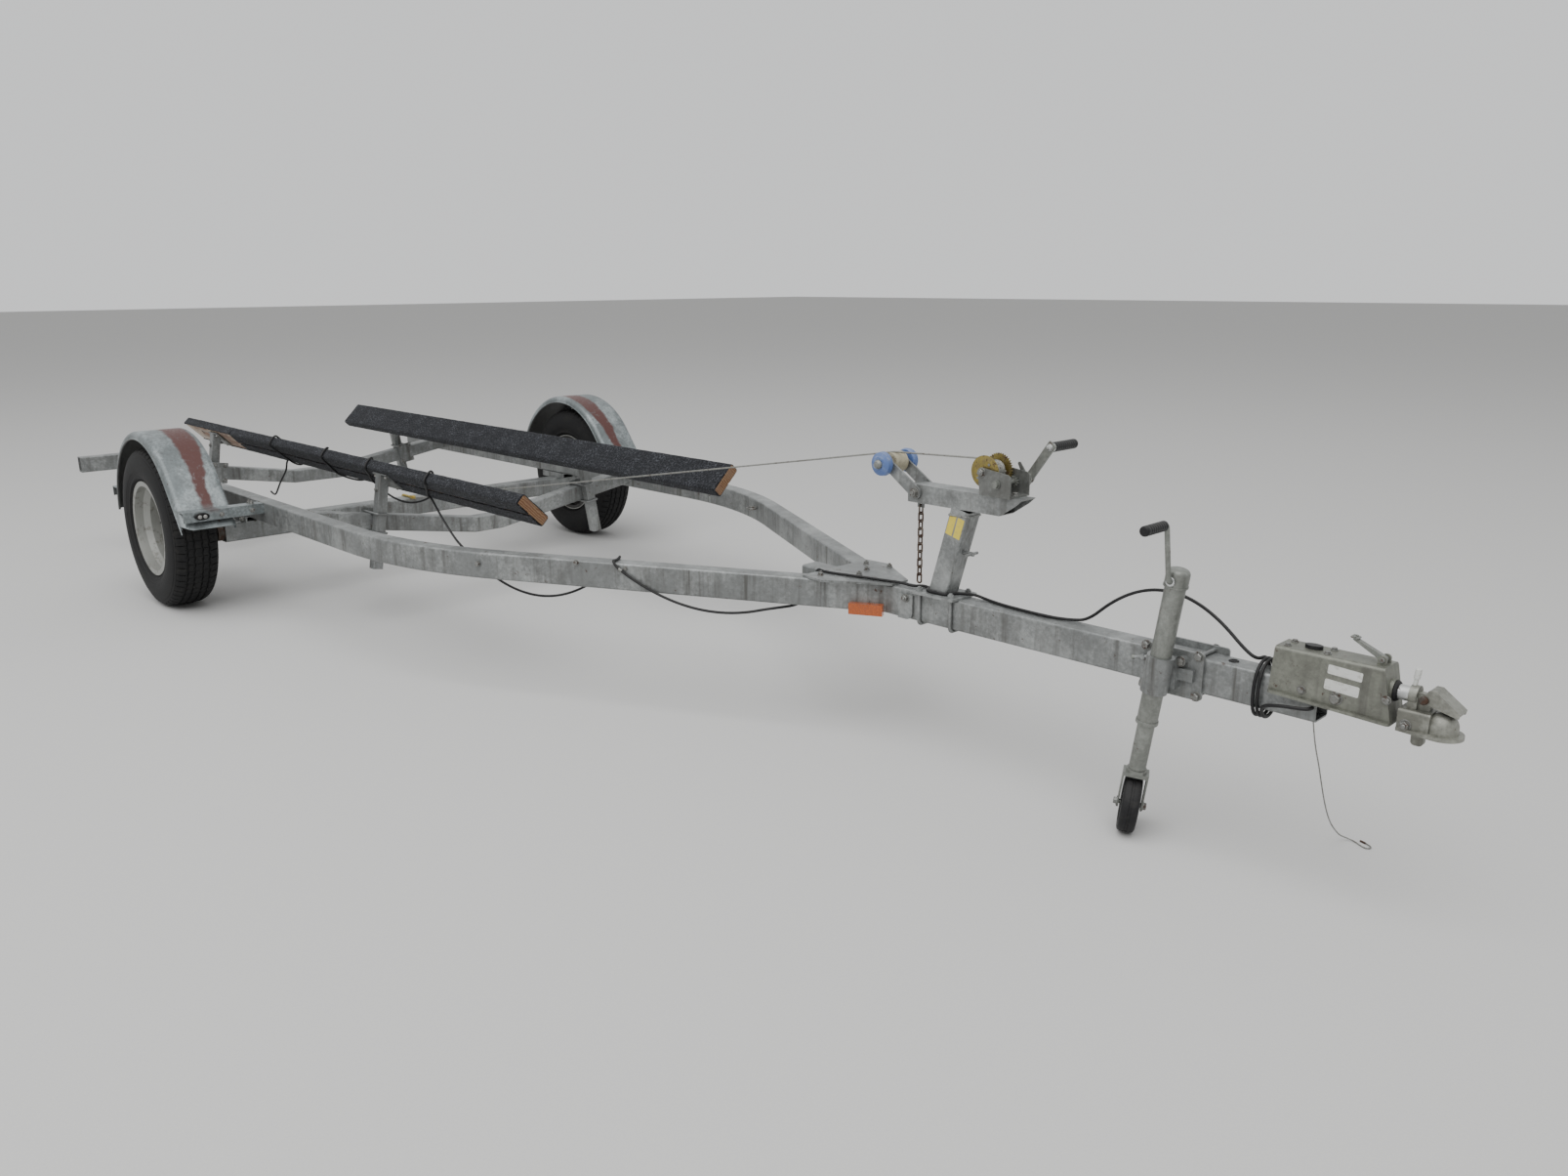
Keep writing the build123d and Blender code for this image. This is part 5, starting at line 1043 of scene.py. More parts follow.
def wrap(start_x, top_x, low_x, steps):
    """One turn round the right bunk: up its underside, over its top edge, down its upper face, under its low
    edge."""
    lay, edge, low, high, weave = 0.0275, 0.0725, -0.03, 0.06, 0.0012
    rows = [(start_x + 0.004, -0.048, lay + 0.001), (start_x, low, lay)]
    for index in range(1, 4):
        share = index / 4
        x, up = start_x + (top_x - start_x) * share, low + (high - low) * share
        rows.append((x, up, lay + weave * (index % 2)))
    rows += [(top_x, high, lay), (top_x - 0.002, edge, 0.021), (top_x - 0.009, edge, -0.021)]
    first_x = top_x - 0.016
    for index in range(steps + 1):
        share = index / steps
        x, up = first_x + (low_x + 0.014 - first_x) * share, high - 2 * high * share
        rows.append((x, up, -lay - 0.001 - weave * (index % 2)))
    rows += [(low_x, -edge, -0.021), (low_x - 0.016, -edge - 0.003, 0.016)]
    return on_bunk(*np.array(rows).T, -1)


class TRAILER_OT_light_cable(bpy.types.Operator):
    """The lighting cable: out of the drawbar, coiled round it, along to the post, under the rail and round
    the bunk."""

    bl_idname = "trailer.light_cable"
    bl_label = "Light cable"

    def execute(self, context):
        diameter = context.scene.trailer_cables.light
        route = self.route() + AXLE
        piece = cord_curve("light_lead", route, diameter)
        piece.data.materials.append(bpy.data.materials["cable_black"])
        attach(piece, "chassis")
        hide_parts("light_cable")
        return {"FINISHED"}

    def route(self):
        """The route's points in order, from the axle's middle on the ground."""
        bar_x = 4.26
        on_bar = CHASSIS_TOP + 0.0043
        on_plate = on_bar + PLATE
        leaving = mm((0, -33.3, 401), (-0.2, -50, 401), (-26, -57, 400), (-56, -58, 397), (-86, -54, 390))
        rows = [leaving + [bar_x - 0.008, 0, 0]]
        ring = mm((-46, -32), (-22, -66), (22, -66), (46, -32), (46, 32), (22, 66), (-22, 66), (-46, 32))
        coil_x = bar_x - 0.114
        step = np.arange(23)
        rows.append(np.column_stack([coil_x - step * 0.01 / 8, ring[step % 8] + [0, CHASSIS_MIDDLE]]))
        arch_start = (coil_x - 0.056, -0.024, CHASSIS_MIDDLE + 0.082)
        arch_end = (bar_x - 0.6, 0.028, on_bar + 0.006)
        rows += [[arch_start], sagging(arch_start, arch_end, -0.108, 6), [arch_end]]
        rows.append(level(bar_x, on_bar, (-640, 14), (-700, -2), (-775, 2), (-850, 8), (-915, 24)))
        rows.append(level(POST_X, on_plate, (96, 22), (66, 12), (44, -2), (41.5, -22), (33, -36.5)))
        rows.append(level(POST_X, on_plate, (12, -36), (-16, -37), (-35, -29), (-41, -10), (-56, -1)))
        rows.append([(3.145, -0.004, on_plate + 0.0006), (3.117, -0.011, on_bar + 0.001)])
        rows.append([(3.085, -0.018, on_bar + 0.0066)])
        rows.append(level(RAIL_NOSE, on_plate, (-6, -32), (-60, -44), (-120, -60), (-172, -74), (-206, -78)))
        down = mm((2802, -48, 465), (2793, -47, 440), (2786, -45, 410), (2778, -41, 376), (2764, -20, 355))
        rows += [[by_rail(*row) for row in down], [by_rail(2.747, 0.008, 0.353)]]
        low = by_rail(2.728, CABLE_ASIDE, CHASSIS_BOTTOM - 0.016)
        held = by_rail(*CABLE_HELD)
        rows += [[low], sagging(low, held, 0.062, 6), [held]]
        over = mm((2276, 33, 4.8), (2264, 10, 0), (2252, -14, 0), (2241, -33, 4.8))
        rows.append([by_rail(x, aside, on_bar + lift) for x, aside, lift in over])
        inside = by_rail(2.228, -CABLE_ASIDE - 0.001, CHASSIS_TOP - 0.014)
        lift_off = (1.63, -0.6, 0.445)
        rows += [[inside], sagging(inside, lift_off, 0.148, 7), [lift_off]]
        wraps = [wrap(1.096, 1.208, 1.046, 3), wrap(0.636, 0.726, 0.486, 3), wrap(0.286, 0.318, -0.14, 5)]
        wraps.append(wrap(-0.2, -0.232, -0.318, 3))
        rows.append(sagging(lift_off, wraps[0][0], 0.008, 5))
        for turn, following, (sag, count) in zip(wraps, wraps[1:], ((0.044, 4), (0.006, 1), (0.004, 1))):
            rows += [turn, sagging(turn[-1], following[0], sag, count)]
        rows.append(wraps[-1])
        rows.append(mm((-338, -386, 452), (-362, -394, 418), (-398, -398, 386), (-432, -400, 350)))
        rows.append(mm((-462, -400, 322), (-496, -398, 314), (-528, -398, 326)))
        return np.concatenate(rows)


class TRAILER_OT_breakaway_cable(bpy.types.Operator):
    """The steel safety cable, hanging from the drawbar's open end to its loop on the ground, with its
    ferrule."""

    bl_idname = "trailer.breakaway_cable"
    bl_label = "Breakaway cable"

    def execute(self, context):
        diameter = context.scene.trailer_cables.breakaway
        x = 4.246
        fall = mm(
            (2, 4, 330), (3, 22, 288), (4, 46, 246), (4, 70, 200), (6, 92, 152), (8, 116, 108), (8, 148, 70),
            (6, 186, 40), (6, 218, 16), (14, 238, 5), (34, 240, 2), (54, 226, 2), (70, 221, 2), (76, 236, 2),
            (60, 247, 2), (42, 252, 2),
        )
        route = np.concatenate([[place(x, -0.006, CHASSIS_BOTTOM - 0.0003)], place(x, 0, 0) + fall])
        guide = cord_curve("breakaway_guide", route, 0.0, fine=22)
        path = read_route(guide)
        bpy.data.objects.remove(guide)
        shells = strands(path, diameter, 0.016)
        piece = make("breakaway_strands", shells, "wire_steel", "chassis", ["breakaway_cable"], sharp=0)
        self.ferrule(path, diameter)
        return {"FINISHED"}

    def ferrule(self, path, diameter):
        """A pressed sleeve on the end of the loop: a circle carried along the path's last stretch, waisted by
        the press in three places."""
        run = measured(path)
        spots = np.linspace(run[-1] - 0.016, run[-1] - 0.001, 40)
        line = np.stack([np.interp(spots, run, column) for column in path.T], axis=-1)
        radius = diameter * (0.78 - 0.1 * (np.sin((spots - spots[0]) / 0.005 * 2 * np.pi) > 0.3))
        make("breakaway_ferrule", [carried(line, radius, 16)], "chain_steel")


class TRAILER_OT_winch_wire(bpy.types.Operator):
    """Turns of stranded wire on the drum."""

    bl_idname = "trailer.winch_wire"
    bl_label = "Winch wire"

    def execute(self, context):
        diameter = context.scene.trailer_cables.winch
        low, high = (np.array(corner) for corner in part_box("wire_turns"))
        centre = (low + high) / 2
        reach = (high[2] - low[2]) / 2 - diameter / 2
        turns = int((high[1] - low[1]) / (diameter * 1.04)) - 1
        share = np.linspace(0, 1, turns * 30)
        angle = share * turns * 2 * np.pi
        inner, outer = low[1] + diameter * 0.55, high[1] - diameter * 0.55
        x, z = centre[0] + reach * np.cos(angle), centre[2] + reach * np.sin(angle)
        coil = np.stack([x, inner + (outer - inner) * share, z], axis=-1)
        width, deep = high[1] - low[1] - 0.0006, reach - diameter * 0.35
        core = [(0, 0), (0, deep), (width, deep), (width, 0)]
        shells = [turned(core, (centre[0], low[1] + 0.0003, centre[2]), LEFT, 40)]
        shells += strands(coil, diameter, 0.026, sides=5)
        make("wound_wire", shells, "wire_steel", "winch_drum", ["wire_turns"], sharp=0)
        return {"FINISHED"}


# ---------------------------------------------------------------- fasteners


def beside(node, x, sign, z, start=0.2):
    """Where a level line from one side first meets a carried node."""
    return landed(node, place(x, sign * start, z), (0, -sign, 0))


class TRAILER_OT_fasteners(bpy.types.Operator):
    """Bolts, nuts and washers on the chassis."""

    bl_idname = "trailer.fasteners"
    bl_label = "Fasteners"

    def execute(self, context):
        sizes = context.scene.trailer_fasteners
        small, middle, large = sizes.small, sizes.middle, sizes.large
        shells = []
        for x, y, z in ((1.849, -0.654, 0.417), (2.164, -0.4902, 0.446)):
            shells += hexagon(place(x, y, z), (0.4617, -0.887, 0.0), small, 0.007)
        for x, y in ((2.848, 0.093), (2.9, 0.039), (2.925, 0.112), (2.848, -0.104), (2.925, -0.022)):
            shells += hexagon(place(x, y, CHASSIS_TOP + PLATE), UP, small, 0.007, 0.004)
        for sign in (1, -1):
            for x in (0.412, 0.441):
                shells += hexagon(place(x, sign * 0.835, CHASSIS_TOP - 0.003), UP, small, 0.007, 0.004)
            for y in (0.84, 0.955):
                shells += hexagon(place(0.4558, sign * y, CHASSIS_TOP - 0.025), AHEAD, small, 0.006)
            for x in (0.098, 0.222):
                shells += hexagon(place(x, sign * 0.799, 0.355), (0, sign, 0), middle, 0.009, 0.005)
        shells += self.post_clamps(0.9 * middle) + self.pads(small) + self.jack_clamp(middle)
        for sign in (1, -1):
            out = (0, sign, 0)
            shells += hexagon(place(DRUM_X, sign * 0.043, DRUM_Z), out, middle, 0.008, 0.002)
            shells += hexagon(place(3.1395, sign * 0.0363, 0.73), out, large, 0.01, 0.003)
            for x, z, across in ((4.227, 0.437, small), (4.3, 0.436, large), (4.399, 0.458, small)):
                height = 0.009 if across == large else 0.006
                shells += hexagon(beside("coupling_housing", x, sign, z), out, across, height)
            for x in (4.18, 4.265):
                spot = landed("coupling_housing", place(x, sign * 0.018, 0.6), (0, 0, -1))
                shells += hexagon(spot, UP, small * 0.85, 0.004)
            shells += hexagon(beside("coupling_head", 4.437, sign, 0.412), out, middle, 0.009, 0.003)
        for x in (3.3925, 3.442):
            shells += hexagon(place(x, 0, 0.756), UP, small, 0.006)
        shells += hexagon(beside("winch_post_clamp", 3.118, -1, 0.429), RIGHT, middle, 0.009, 0.003)
        make("chassis_bolts", shells, "fastener")
        return {"FINISHED"}

    def pads(self, across):
        """Four bolts in each folded pad under a bunk, and one in its post's cheek."""
        shells = []
        for end, x in (("front", 0.812), ("rear", -1.0)):
            for side, sign in SIDES:
                for aside in (-0.042, 0.042):
                    for up in (-0.031, 0.031):
                        spot = AXLE + on_bunk(x + aside, up, 0.0283, sign)
                        shells += hexagon(spot, below_bunk(sign), across, 0.006)
                spot = beside(f"bunk_post_{end}_{side}", x, sign, 0.51, 0.9)
                shells += hexagon(spot, (0, sign * 0.986, 0.165), across, 0.006)
        return shells

    def jack_clamp(self, across):
        """Nuts on the clamp's four long bolts, and the bolt of its boss."""
        shells = []
        for x in (3.8607, 3.9927):
            for z in (CHASSIS_BOTTOM - 0.0053, CHASSIS_TOP + 0.0053):
                shells += hexagon(place(x, -0.041, z), RIGHT, across, 0.009)
                shells += hexagon(place(x, 0.039, z), LEFT, across, 0.009, 0.001)
        return shells + hexagon(place(3.9567, -0.057, CHASSIS_MIDDLE + 0.032), RIGHT, across, 0.006)

    def post_clamps(self, across):
        """Nuts on the four ends of each post's two bent rods, on the clamp's own slanting plane."""
        lean = math.radians(9.5)
        rise = math.tan(lean)
        sideways = np.array([0.0, math.cos(lean), math.sin(lean)])
        upward = np.array([0.0, -math.sin(lean), math.cos(lean)])
        shells = []
        for cross_x, low, flat_half, ahead in ((0.762, 0.3055, 0.06, 1), (-0.95, 0.3195, 0.12, -1)):
            height = (low + (0.487 + 0.41 * rise - flat_half) * rise) / (1 + rise * rise)
            middle = np.array([cross_x - ahead * 0.036, 0.487 + (0.41 - height) * rise, height])
            for sign in (1, -1):
                for level_by in (-0.0373, 0.0373):
                    for aside in (-0.0248, 0.0248):
                        spot = (middle + upward * level_by + sideways * aside) * [1, sign, 1]
                        shells += hexagon(AXLE + spot, (-ahead, 0, 0), across, 0.008, 0.003)
        return shells


# ---------------------------------------------------------------- trim


def grip_profile(length, radius, ribs, waist=0.0009):
    """Along and out of a moulded grip: round ends and shallow round grooves between."""
    rows = [(0.0, 0.0), (0.0, radius * 0.86), (0.0012, radius * 0.97), (0.003, radius)]
    step = (length - 0.016) / ribs
    for index in range(ribs):
        for on, depth in ((0, 0), (0.22, 0.7), (0.4, 1), (0.58, 0.7), (0.8, 0)):
            rows.append((0.007 + index * step + on * step, radius - depth * waist))
    rows += [(length - 0.006, radius), (length - 0.0022, radius * 0.96), (length - 0.0006, radius * 0.84)]
    return rows + [(length, radius * 0.6), (length, 0.0)]


def paired(profile, x, y, z, sides=20):
    """A profile turned at a place on each side, both pointing outward."""
    return [turned(profile, place(x, sign * y, z), (0, sign, 0), sides) for sign in (1, -1)]


class TRAILER_OT_trim(bpy.types.Operator):
    """Grips, caps, tapes, labels, rings, lamp lenses and weld beads."""

    bl_idname = "trailer.trim"
    bl_label = "Trim"

    def execute(self, context):
        self.winch()
        self.jack()
        self.coupling()
        self.lamps()
        self.welds()
        self.rail_fittings()
        return {"FINISHED"}

    def rail_fittings(self):
        """A tie ring inside each slanted rail, and the clip that holds the light cable to the right one."""
        cos, sin = math.cos(RAIL_TURN), math.sin(RAIL_TURN)
        rings = []
        for sign in (1, -1):
            inward, lengthwise = np.array([-sin, -sign * cos, 0]), np.array([-cos, sign * sin, 0])
            face = AXLE + by_rail(1.794, -RAIL_HALF, 0.42) * [1, -sign, 1]
            rings.append(oval_ring(face + 0.0205 * inward, lengthwise, inward, 0.022, 0.018, 0.0045))
        make("tie_rings", rings, "fastener")
        held = AXLE + by_rail(*CABLE_HELD)
        before = AXLE + by_rail(2.352, CABLE_ASIDE, CHASSIS_TOP - 0.048)
        band = mm((-6, 4.3), (-6, 5.6), (6, 5.6), (6, 4.3))
        shells = [turned(band, held + 0.16 * (before - held), before - held, 20, closed=True)]
        shells += hexagon(AXLE + by_rail(2.312, 0.0301, CHASSIS_TOP - 0.014), (sin, -cos, 0), 0.01, 0.004)
        make("cable_clip", shells, "fastener")

    def grip(self, node, sign, ribs, body):
        """A ribbed grip in place of a plain one, from its end at the crank."""
        low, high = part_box(node)
        root = ((low[0] + high[0]) / 2, low[1] if sign > 0 else high[1], (low[2] + high[2]) / 2)
        profile = grip_profile(high[1] - low[1], (high[0] - low[0]) / 2, ribs)
        shells = [turned(profile, root, (0, sign, 0), 32)]
        make(node + "_moulded", shells, "black_plastic", body, [node], sharp=50)

    def winch(self):
        """The crank's nut, collar and grip, the wire's screws, the roller's caps and the post's tapes."""
        nut = hexagon(place(3.414, 0.103, 0.786), LEFT, 0.019, 0.009, 0.004)
        make("crank_nut", nut, "bright_steel", "winch_handle")
        collar = mm((0, 0), (0, 10.5), (1.5, 11.5), (6, 11.5), (7.5, 10), (7.5, 0))
        shells = [turned(collar, place(3.4742, 0.1035, 0.872), LEFT, 24)]
        shells += hexagon(place(3.4742, 0.097, 0.872), RIGHT, 0.013, 0.005)
        make("crank_collar", shells, "bright_steel", "winch_handle")
        self.grip("winch_grip", 1, 9, "winch_handle")
        screws = []
        for angle in (0.9, 3.9):
            spot = place(DRUM_X + 0.025 * math.cos(angle), -0.034, DRUM_Z + 0.025 * math.sin(angle))
            screws += hexagon(spot, RIGHT, 0.007, 0.002, washer=False)
        make("drum_screws", screws, "fastener", "winch_drum")
        cap = mm((0, 0), (0, 12.8), (1.6, 13.2), (3.5, 12.5), (8, 10.2), (10.6, 6), (11.3, 0))
        make("roller_caps", paired(cap, 3.035, 0.0695, 0.8, 28), "zinc_steel")
        upward = np.array([math.sin(POST_LEAN), 0, math.cos(POST_LEAN)])
        across = np.array([math.cos(POST_LEAN), 0, -math.sin(POST_LEAN)])
        tapes = []
        for sign in (1, -1):
            middle = place(POST_X + 0.1945 * math.tan(POST_LEAN), sign * 0.0299, 0.6535)
            for aside in (-0.0135, 0.0135):
                outline = rounded(0.022, 0.057, 0.0015)
                tapes.append(slab(outline, middle + across * aside, across * -sign, upward, 0.0006))
        make("reflective_tapes", tapes, "reflective_tape")

    def jack(self):
        """The crank's grip and hub, the moulded wheel and its nuts, the tubes' bands and the clamp's
        screws."""
        self.grip("jack_grip", -1, 8, "jack_handle")
        up = np.array([math.sin(JACK_LEAN), 0, math.cos(JACK_LEAN)])
        foot = place(*JACK_FOOT)
        axis = np.array([0.870472, 0.478692, -0.1146])
        half = mm(
            (0, 67.6), (2.8, 67.8), (3.6, 69.4), (11.8, 69.4), (15.5, 68.2), (18.8, 65.8),
            (20.5, 62.2), (21, 58), (21, 52), (19.6, 48.8), (13.5, 46.2), (12.8, 22.5),
            (19, 19.5), (20.8, 17.5), (20.8, 6.6),
        )
        wheel = turned(np.concatenate([half[:0:-1] * [-1, 1], half]), foot, axis, 56, closed=True)
        make("jack_wheel_moulded", [wheel], "black_rubber", "jack_wheel", ["jack_wheel"], sharp=40)
        shells = []
        for sign in (1, -1):
            shells += hexagon(foot + axis * sign * 0.03, axis * sign, 0.016, 0.007)
        make("jack_axle_nuts", shells, "fastener", "jack_caster")
        lower = mm((0, 24.3), (0, 25.6), (1.2, 26.2), (8.5, 26.2), (9.5, 25.6), (9.5, 24.3))
        upper = mm((0, 27.2), (0, 28.2), (4, 28.2), (4, 27.2))
        rows = ((lower, 0.2155), (upper, 0.5575))
        bands = [turned(band, foot + up * height, up, 40, closed=True) for band, height in rows]
        make("jack_bands", bands, "zinc_steel")
        hub = mm((0, 6.4), (0, 10.2), (1, 10.8), (4.8, 10.8), (5.6, 10), (5.6, 6.4))
        shells = [turned(hub, foot + up * 0.574 + [0, -0.0278, 0], RIGHT, 28, closed=True)]
        make("jack_crank_hub", shells, "bright_steel", "jack_handle")
        ball = mm((-5.5, 0), (-5.2, 2), (-4, 4), (-2, 5.2), (0, 5.6), (2, 5.2), (4, 4), (5.2, 2), (5.5, 0))
        spots = ((3.8817, 0.027), (3.8367, 0.015))
        balls = [turned(ball, place(x, -0.056, CHASSIS_MIDDLE + z), (1, 0, 0.26), 16) for x, z in spots]
        make("clamp_screw_balls", balls, "zinc_steel")

    def coupling(self):
        """Blank labels, the head's stud, the handle's and the lever's pins, the shaft's wiper, the lever's
        tab, the drawbar's grommet, and a thin dark disc painted as the shade in a bolt hole in the bare
        plank."""
        labels = []
        for x, z, height in ((4.3125, 0.495, 0.02), (4.3085, 0.4615, 0.023)):
            for sign in (1, -1):
                spot = beside("coupling_housing", x, sign, z) - [0, sign * 0.0001, 0]
                across = unit([1.0, 0, -0.06]) * -sign
                labels.append(slab(rounded(0.071, height, 0.003), spot, across, (0.06, 0, 1), 0.0005))
        make("blank_labels", labels, "white_label")
        spot = landed("coupling_head", place(4.437, 0, 0.56), (0, 0, -1))
        post = mm((-2, 0), (-2, 4.5), (14, 4.5), (14, 6.2), (34, 6.2), (35.2, 5.2), (35.2, 0))
        make("head_stud", [turned(post, spot, (0.1, 0, 1), 20)], "white_label")
        knob = mm((0, 0), (0, 8.8), (1.2, 9.2), (6, 8.8), (8.5, 6.6), (9.2, 0))
        make("handle_pin_heads", paired(knob, 4.464, 0.0222, SHAFT_Z), "dark_steel", "coupling_handle")
        wiper = mm((0, 16.3), (0, 21.5), (1.5, 22.5), (5, 21), (7.5, 18.5), (8, 16.3))
        start = landed("coupling_housing", place(4.6, 0, SHAFT_Z + 0.021), (-1, 0, 0))[0] + 0.0002
        make("shaft_wiper", [turned(wiper, (start, 0, SHAFT_Z), AHEAD, 36, closed=True)], "black_rubber")
        tab = [slab(rounded(0.024, 0.016, 0.003), place(4.3115, 0, 0.5651), LEFT, (-0.98, 0, 0.2), 0.002)]
        for y in (-0.007, 0.007):
            tab += hexagon(place(4.3115, y, 0.5668), (0.2, 0, 0.98), 0.006, 0.0025, washer=False)
        make("lever_tab", tab, "zinc_steel", "brake_lever")
        pin = mm((0, 0), (0, 5.6), (1.2, 6), (3, 5), (3.4, 0))
        make("lever_pin_heads", paired(pin, 4.373, 0.0145, 0.5315), "fastener", "brake_lever")
        plug = mm((-1, 0), (-1, 11.2), (1.4, 11.5), (2.8, 9.5), (2.8, 6.5), (0.6, 4.8), (0.6, 0))
        make("drawbar_grommet", [turned(plug, place(4.056, 0, CHASSIS_TOP), UP, 24)], "black_rubber")
        # Painted shade: a thin dark disc on the bare plank stands for the shade inside an empty bolt hole.
        below = below_bunk(-1)
        spot = landed("bunk_plank_right", AXLE + on_bunk(-1.22, 0.012, 0.2, -1), -below)
        hole = mm((-1, 0), (-1, 11.8), (0.4, 11.8), (0.4, 0))
        make("plank_bolt_hole_shade", [turned(hole, spot, below, 24)], "black_rubber")

    def lamps(self):
        """The position lamps' rims, and two domed lenses in each."""
        dome = mm((-1, 0), (-1, 7.2), (0.6, 7.2), (1.8, 5.8), (2.5, 3.4), (2.8, 0))
        rings, lenses = [], []
        for sign in (1, -1):
            face = place(0.4698, sign * 1.03, 0.43)
            rings.append(oval_ring(face - [0.0036, 0, 0], LEFT, UP, 0.0245, 0.0118, 0.0016))
            lenses += [turned(dome, face + [0, aside, 0], AHEAD, 28) for aside in (-0.0098, 0.0098)]
        make("lamp_rims", rings, "black_plastic")
        make("lamp_lenses", lenses, "clear_lens")

    def welds(self):
        """Beads round the winch post's foot and head, at the ends of the crossmembers and outriggers, and
        along the fenders' brackets."""
        half, half_across, top, head_z = 0.0312, 0.029, CHASSIS_TOP + PLATE, 0.684
        head = POST_X + 0.225 * math.tan(POST_LEAN)
        lines = []
        for x in (POST_X - half, POST_X + half):
            lines.append((place(x, -half_across, top), place(x, half_across, top), 0.0022, 2))
        for y in (-0.03, 0.03):
            lines.append((place(POST_X - half, y, top), place(POST_X + half, y, top), 0.002, 4))
        for y in (-0.03, 0.03):
            lines.append((place(head - half, y, head_z), place(head + half, y, head_z), 0.003, 6))
        for x in (head - half, head + half):
            lines.append((place(x, -half_across, head_z), place(x, half_across, head_z), 0.003, 7))
        for node in ("front_crossmember", "rear_crossmember"):
            low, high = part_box(node)
            for sign in (1, -1):
                y = sign * high[1]
                for x in (low[0], high[0]):
                    lines.append(((x, y, high[2] - 0.065), (x, y, high[2] - 0.002), 0.0032, 8))
                lines.append(((low[0], y, high[2]), (high[0], y, high[2]), 0.0032, 9))
        low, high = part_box("rear_outrigger_left")
        for sign in (1, -1):
            y = sign * low[1]
            for x in (low[0], high[0]):
                lines.append(((x, y, low[2] + 0.002), (x, y, high[2] - 0.002), 0.0034, 10))
            lines.append(((low[0], y, high[2]), (high[0], y, high[2]), 0.0034, 11))
            for first, last, seed in ((0.4, 0.455, 12), (-0.3725, -0.427, 13)):
                start, end = (place(x, sign * 0.795, 0.4495) for x in (first, last))
                lines.append((start, end, 0.0026, seed))
        make("weld_beads", [bead(*line) for line in lines], "weld", sharp=0)


# ---------------------------------------------------------------- stage


def matrix(x_axis, y_axis, z_axis, origin):
    """A 4 by 4 matrix with the given axes and origin as its columns."""
    table = np.eye(4)
    table[:3] = np.stack([x_axis, y_axis, z_axis, origin], axis=1)
    return Matrix(table.tolist())


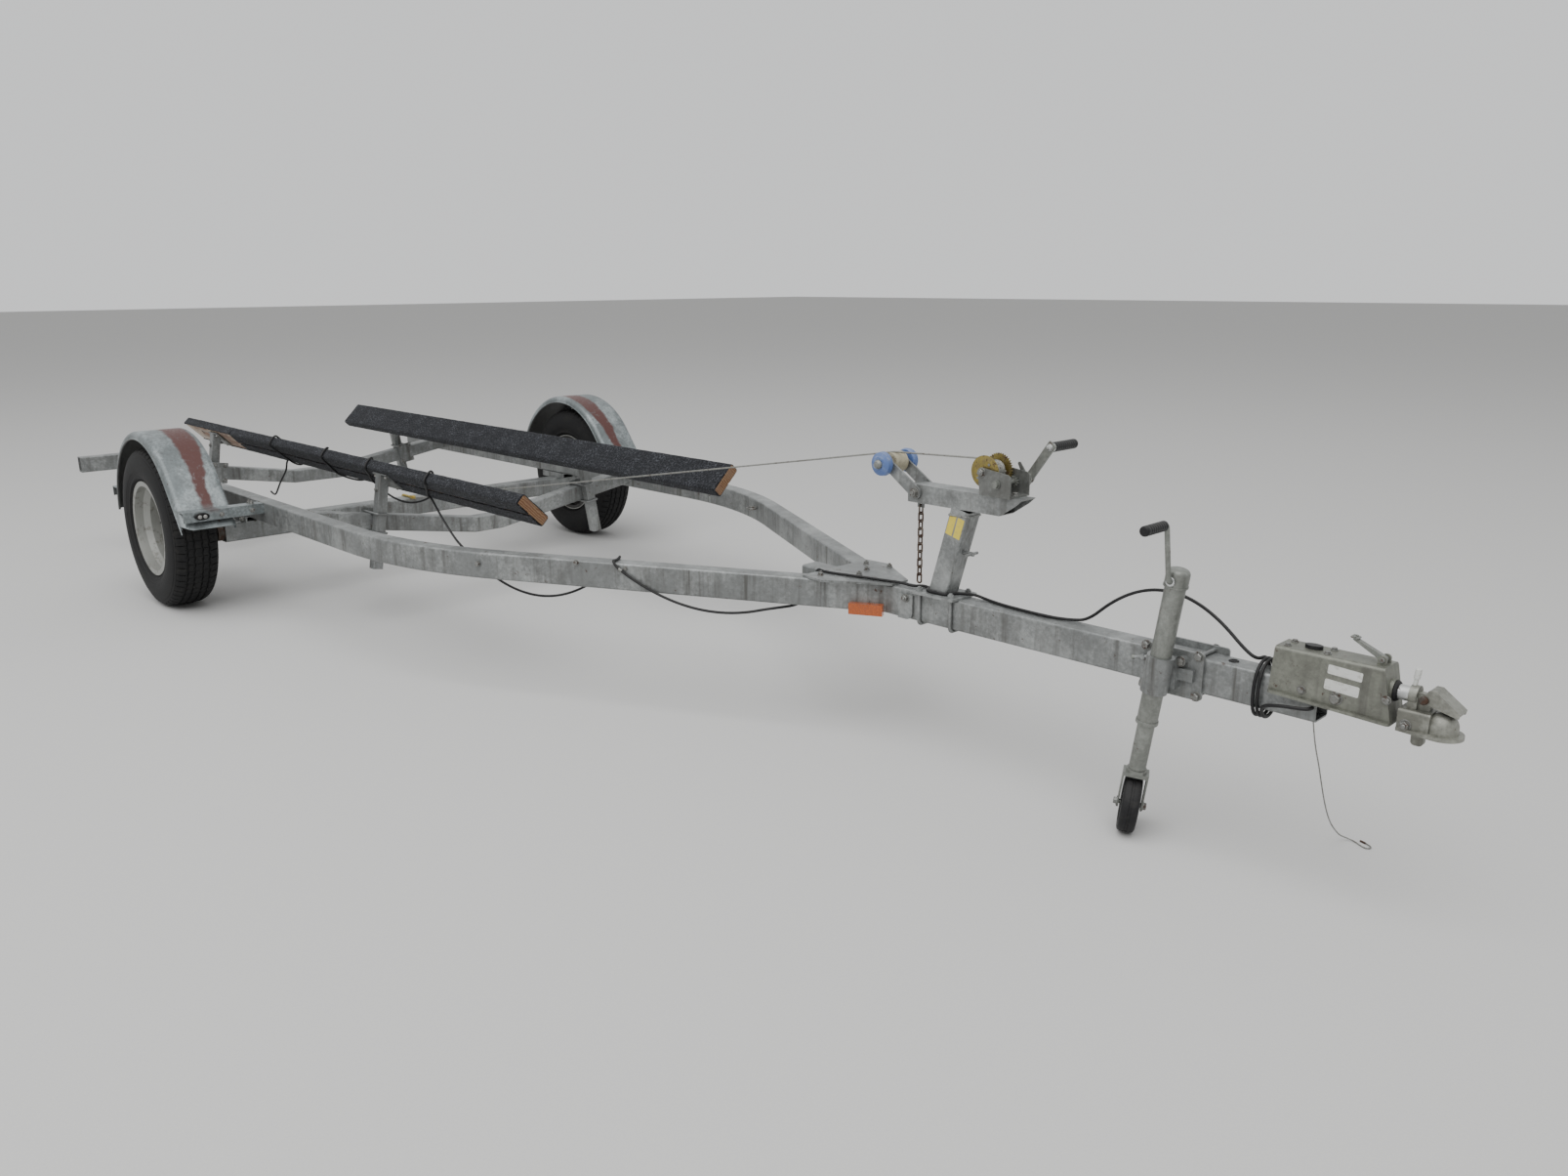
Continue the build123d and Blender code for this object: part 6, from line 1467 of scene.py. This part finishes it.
class TRAILER_OT_stage(bpy.types.Operator):
    """Pale floor, soft lamp, plain world and the camera at the photograph's place."""

    bl_idname = "trailer.stage"
    bl_label = "Stage"

    def execute(self, context):
        scene = context.scene
        settings = scene.trailer_stage
        self.floor(tuple(settings.floor_colour))
        self.sky(scene, settings.sky_level)
        self.lamp(settings.lamp_power)
        self.camera(scene)
        return {"FINISHED"}

    def floor(self, pale):
        """A wide flat square just below the tyres, faintly speckled."""
        size, below = 60.0, -0.0006
        corners = [(-size, -size, below), (size, -size, below), (size, size, below), (-size, size, below)]
        mesh = bpy.data.meshes.new("floor")
        mesh.from_pydata(corners, [], [[0, 1, 2, 3]])
        material = bpy.data.materials.new("pale_floor")
        material.use_nodes = True
        nodes = Nodes(material.node_tree)
        shader = material.node_tree.nodes["Principled BSDF"].inputs
        speck = nodes.between(nodes.noise(nodes.object_place(), 240.0), 0.3, 0.7)
        nodes.feed(shader["Base Color"], nodes.mix(speck, tuple(0.97 * c for c in pale), pale))
        shader["Roughness"].default_value = 0.92
        shader["Specular IOR Level"].default_value = 0.1
        mesh.materials.append(material)
        link("floor", mesh)

    def sky(self, scene, level):
        """Even light from all round, with a paler sky where the camera or a reflection sees it."""
        world = bpy.data.worlds.new("plain_sky")
        scene.world = world
        world.use_nodes = True
        world.node_tree.nodes.clear()
        sky = Nodes(world.node_tree)
        rays = sky.add("ShaderNodeLightPath").outputs
        kinds = ("Camera", "Glossy", "Transmission")
        direct, glossy, clear = (Signal(sky, rays[f"Is {kind} Ray"]) for kind in kinds)
        seen = sky.math("MAXIMUM", direct, sky.math("MAXIMUM", glossy, clear))
        lit = sky.signal(0, "ShaderNodeBackground", {"Color": (1.0, 1.0, 1.0), "Strength": level})
        shown = sky.signal(0, "ShaderNodeBackground", {"Color": (0.86, 0.87, 0.875), "Strength": 1.0})
        blend = sky.signal(0, "ShaderNodeMixShader", {0: seen, 1: lit, 2: shown})
        sky.add("ShaderNodeOutputWorld", {0: blend})

    def lamp(self, power):
        """A large soft lamp, high up on the camera's side."""
        light = bpy.data.lights.new("soft_lamp", "AREA")
        light.shape = "SQUARE"
        light.size = 12.0
        light.energy = power
        at = np.array([2.2, -4.2, 9.5])
        aim = unit(np.array([-0.2, 0.1, 0.4]) - at)
        side, up = square_to(-aim)
        link("soft_lamp", light).matrix_world = matrix(side, up, -aim, at)

    def camera(self, scene):
        """The camera's axes as unit vectors in the row frame: heading, 14.7 degrees down, hardly rolled. Its
        focal length and the photograph's width are in pixels."""
        heading, pitch, roll = 2.37572600, 0.255864780, 0.00471244707
        focal, picture_width, sensor = 1211.88, 1606, 36.0
        ahead = np.array([math.cos(heading), math.sin(heading), 0.0])
        look = ahead * math.cos(pitch) - [0, 0, math.sin(pitch)]
        flat = np.array([math.sin(heading), -math.cos(heading), 0.0])
        down = np.cross(look, flat)
        right = flat * math.cos(roll) + down * math.sin(roll)
        below = -flat * math.sin(roll) + down * math.cos(roll)
        lens = bpy.data.cameras.new("photo_camera")
        lens.sensor_width = sensor
        lens.lens = focal / picture_width * sensor
        lens.clip_end = 300.0
        camera = link("photo_camera", lens)
        camera.matrix_world = matrix(right, -below, -look, (3.60957591, -2.50413958, 1.29709873))
        scene.camera = camera


OPERATORS = [
    TRAILER_OT_finishes,
    TRAILER_OT_tyres,
    TRAILER_OT_wheel_parts,
    TRAILER_OT_carpets,
    TRAILER_OT_light_cable,
    TRAILER_OT_breakaway_cable,
    TRAILER_OT_winch_wire,
    TRAILER_OT_fasteners,
    TRAILER_OT_trim,
    TRAILER_OT_stage,
]


class TRAILER_PT_panel(bpy.types.Panel):
    """The trailer's settings and its operators, in the 3D view's sidebar."""

    bl_idname = "TRAILER_PT_panel"
    bl_label = "Boat trailer"
    bl_space_type = "VIEW_3D"
    bl_region_type = "UI"
    bl_category = "Trailer"

    def draw(self, context):
        for name, group in GROUPS.items():
            box = self.layout.box()
            box.label(text=group.__doc__)
            for label in group.__annotations__:
                box.prop(getattr(context.scene, name), label)
        for operator in OPERATORS:
            self.layout.operator(operator.bl_idname)


def register():
    for group in GROUPS.values():
        bpy.utils.register_class(group)
    for name, group in GROUPS.items():
        setattr(bpy.types.Scene, name, PointerProperty(type=group))
    for operator in OPERATORS:
        bpy.utils.register_class(operator)
    bpy.utils.register_class(TRAILER_PT_panel)


def unregister():
    bpy.utils.unregister_class(TRAILER_PT_panel)
    for operator in reversed(OPERATORS):
        bpy.utils.unregister_class(operator)
    for name, group in GROUPS.items():
        delattr(bpy.types.Scene, name)
        bpy.utils.unregister_class(group)


def main():
    register()
    bpy.ops.trailer.finishes()
    bpy.ops.trailer.tyres()
    bpy.ops.trailer.wheel_parts()
    bpy.ops.trailer.carpets()
    bpy.ops.trailer.light_cable()
    bpy.ops.trailer.breakaway_cable()
    bpy.ops.trailer.winch_wire()
    bpy.ops.trailer.fasteners()
    bpy.ops.trailer.trim()
    bpy.ops.trailer.stage()


if __name__ == "__main__":
    main()
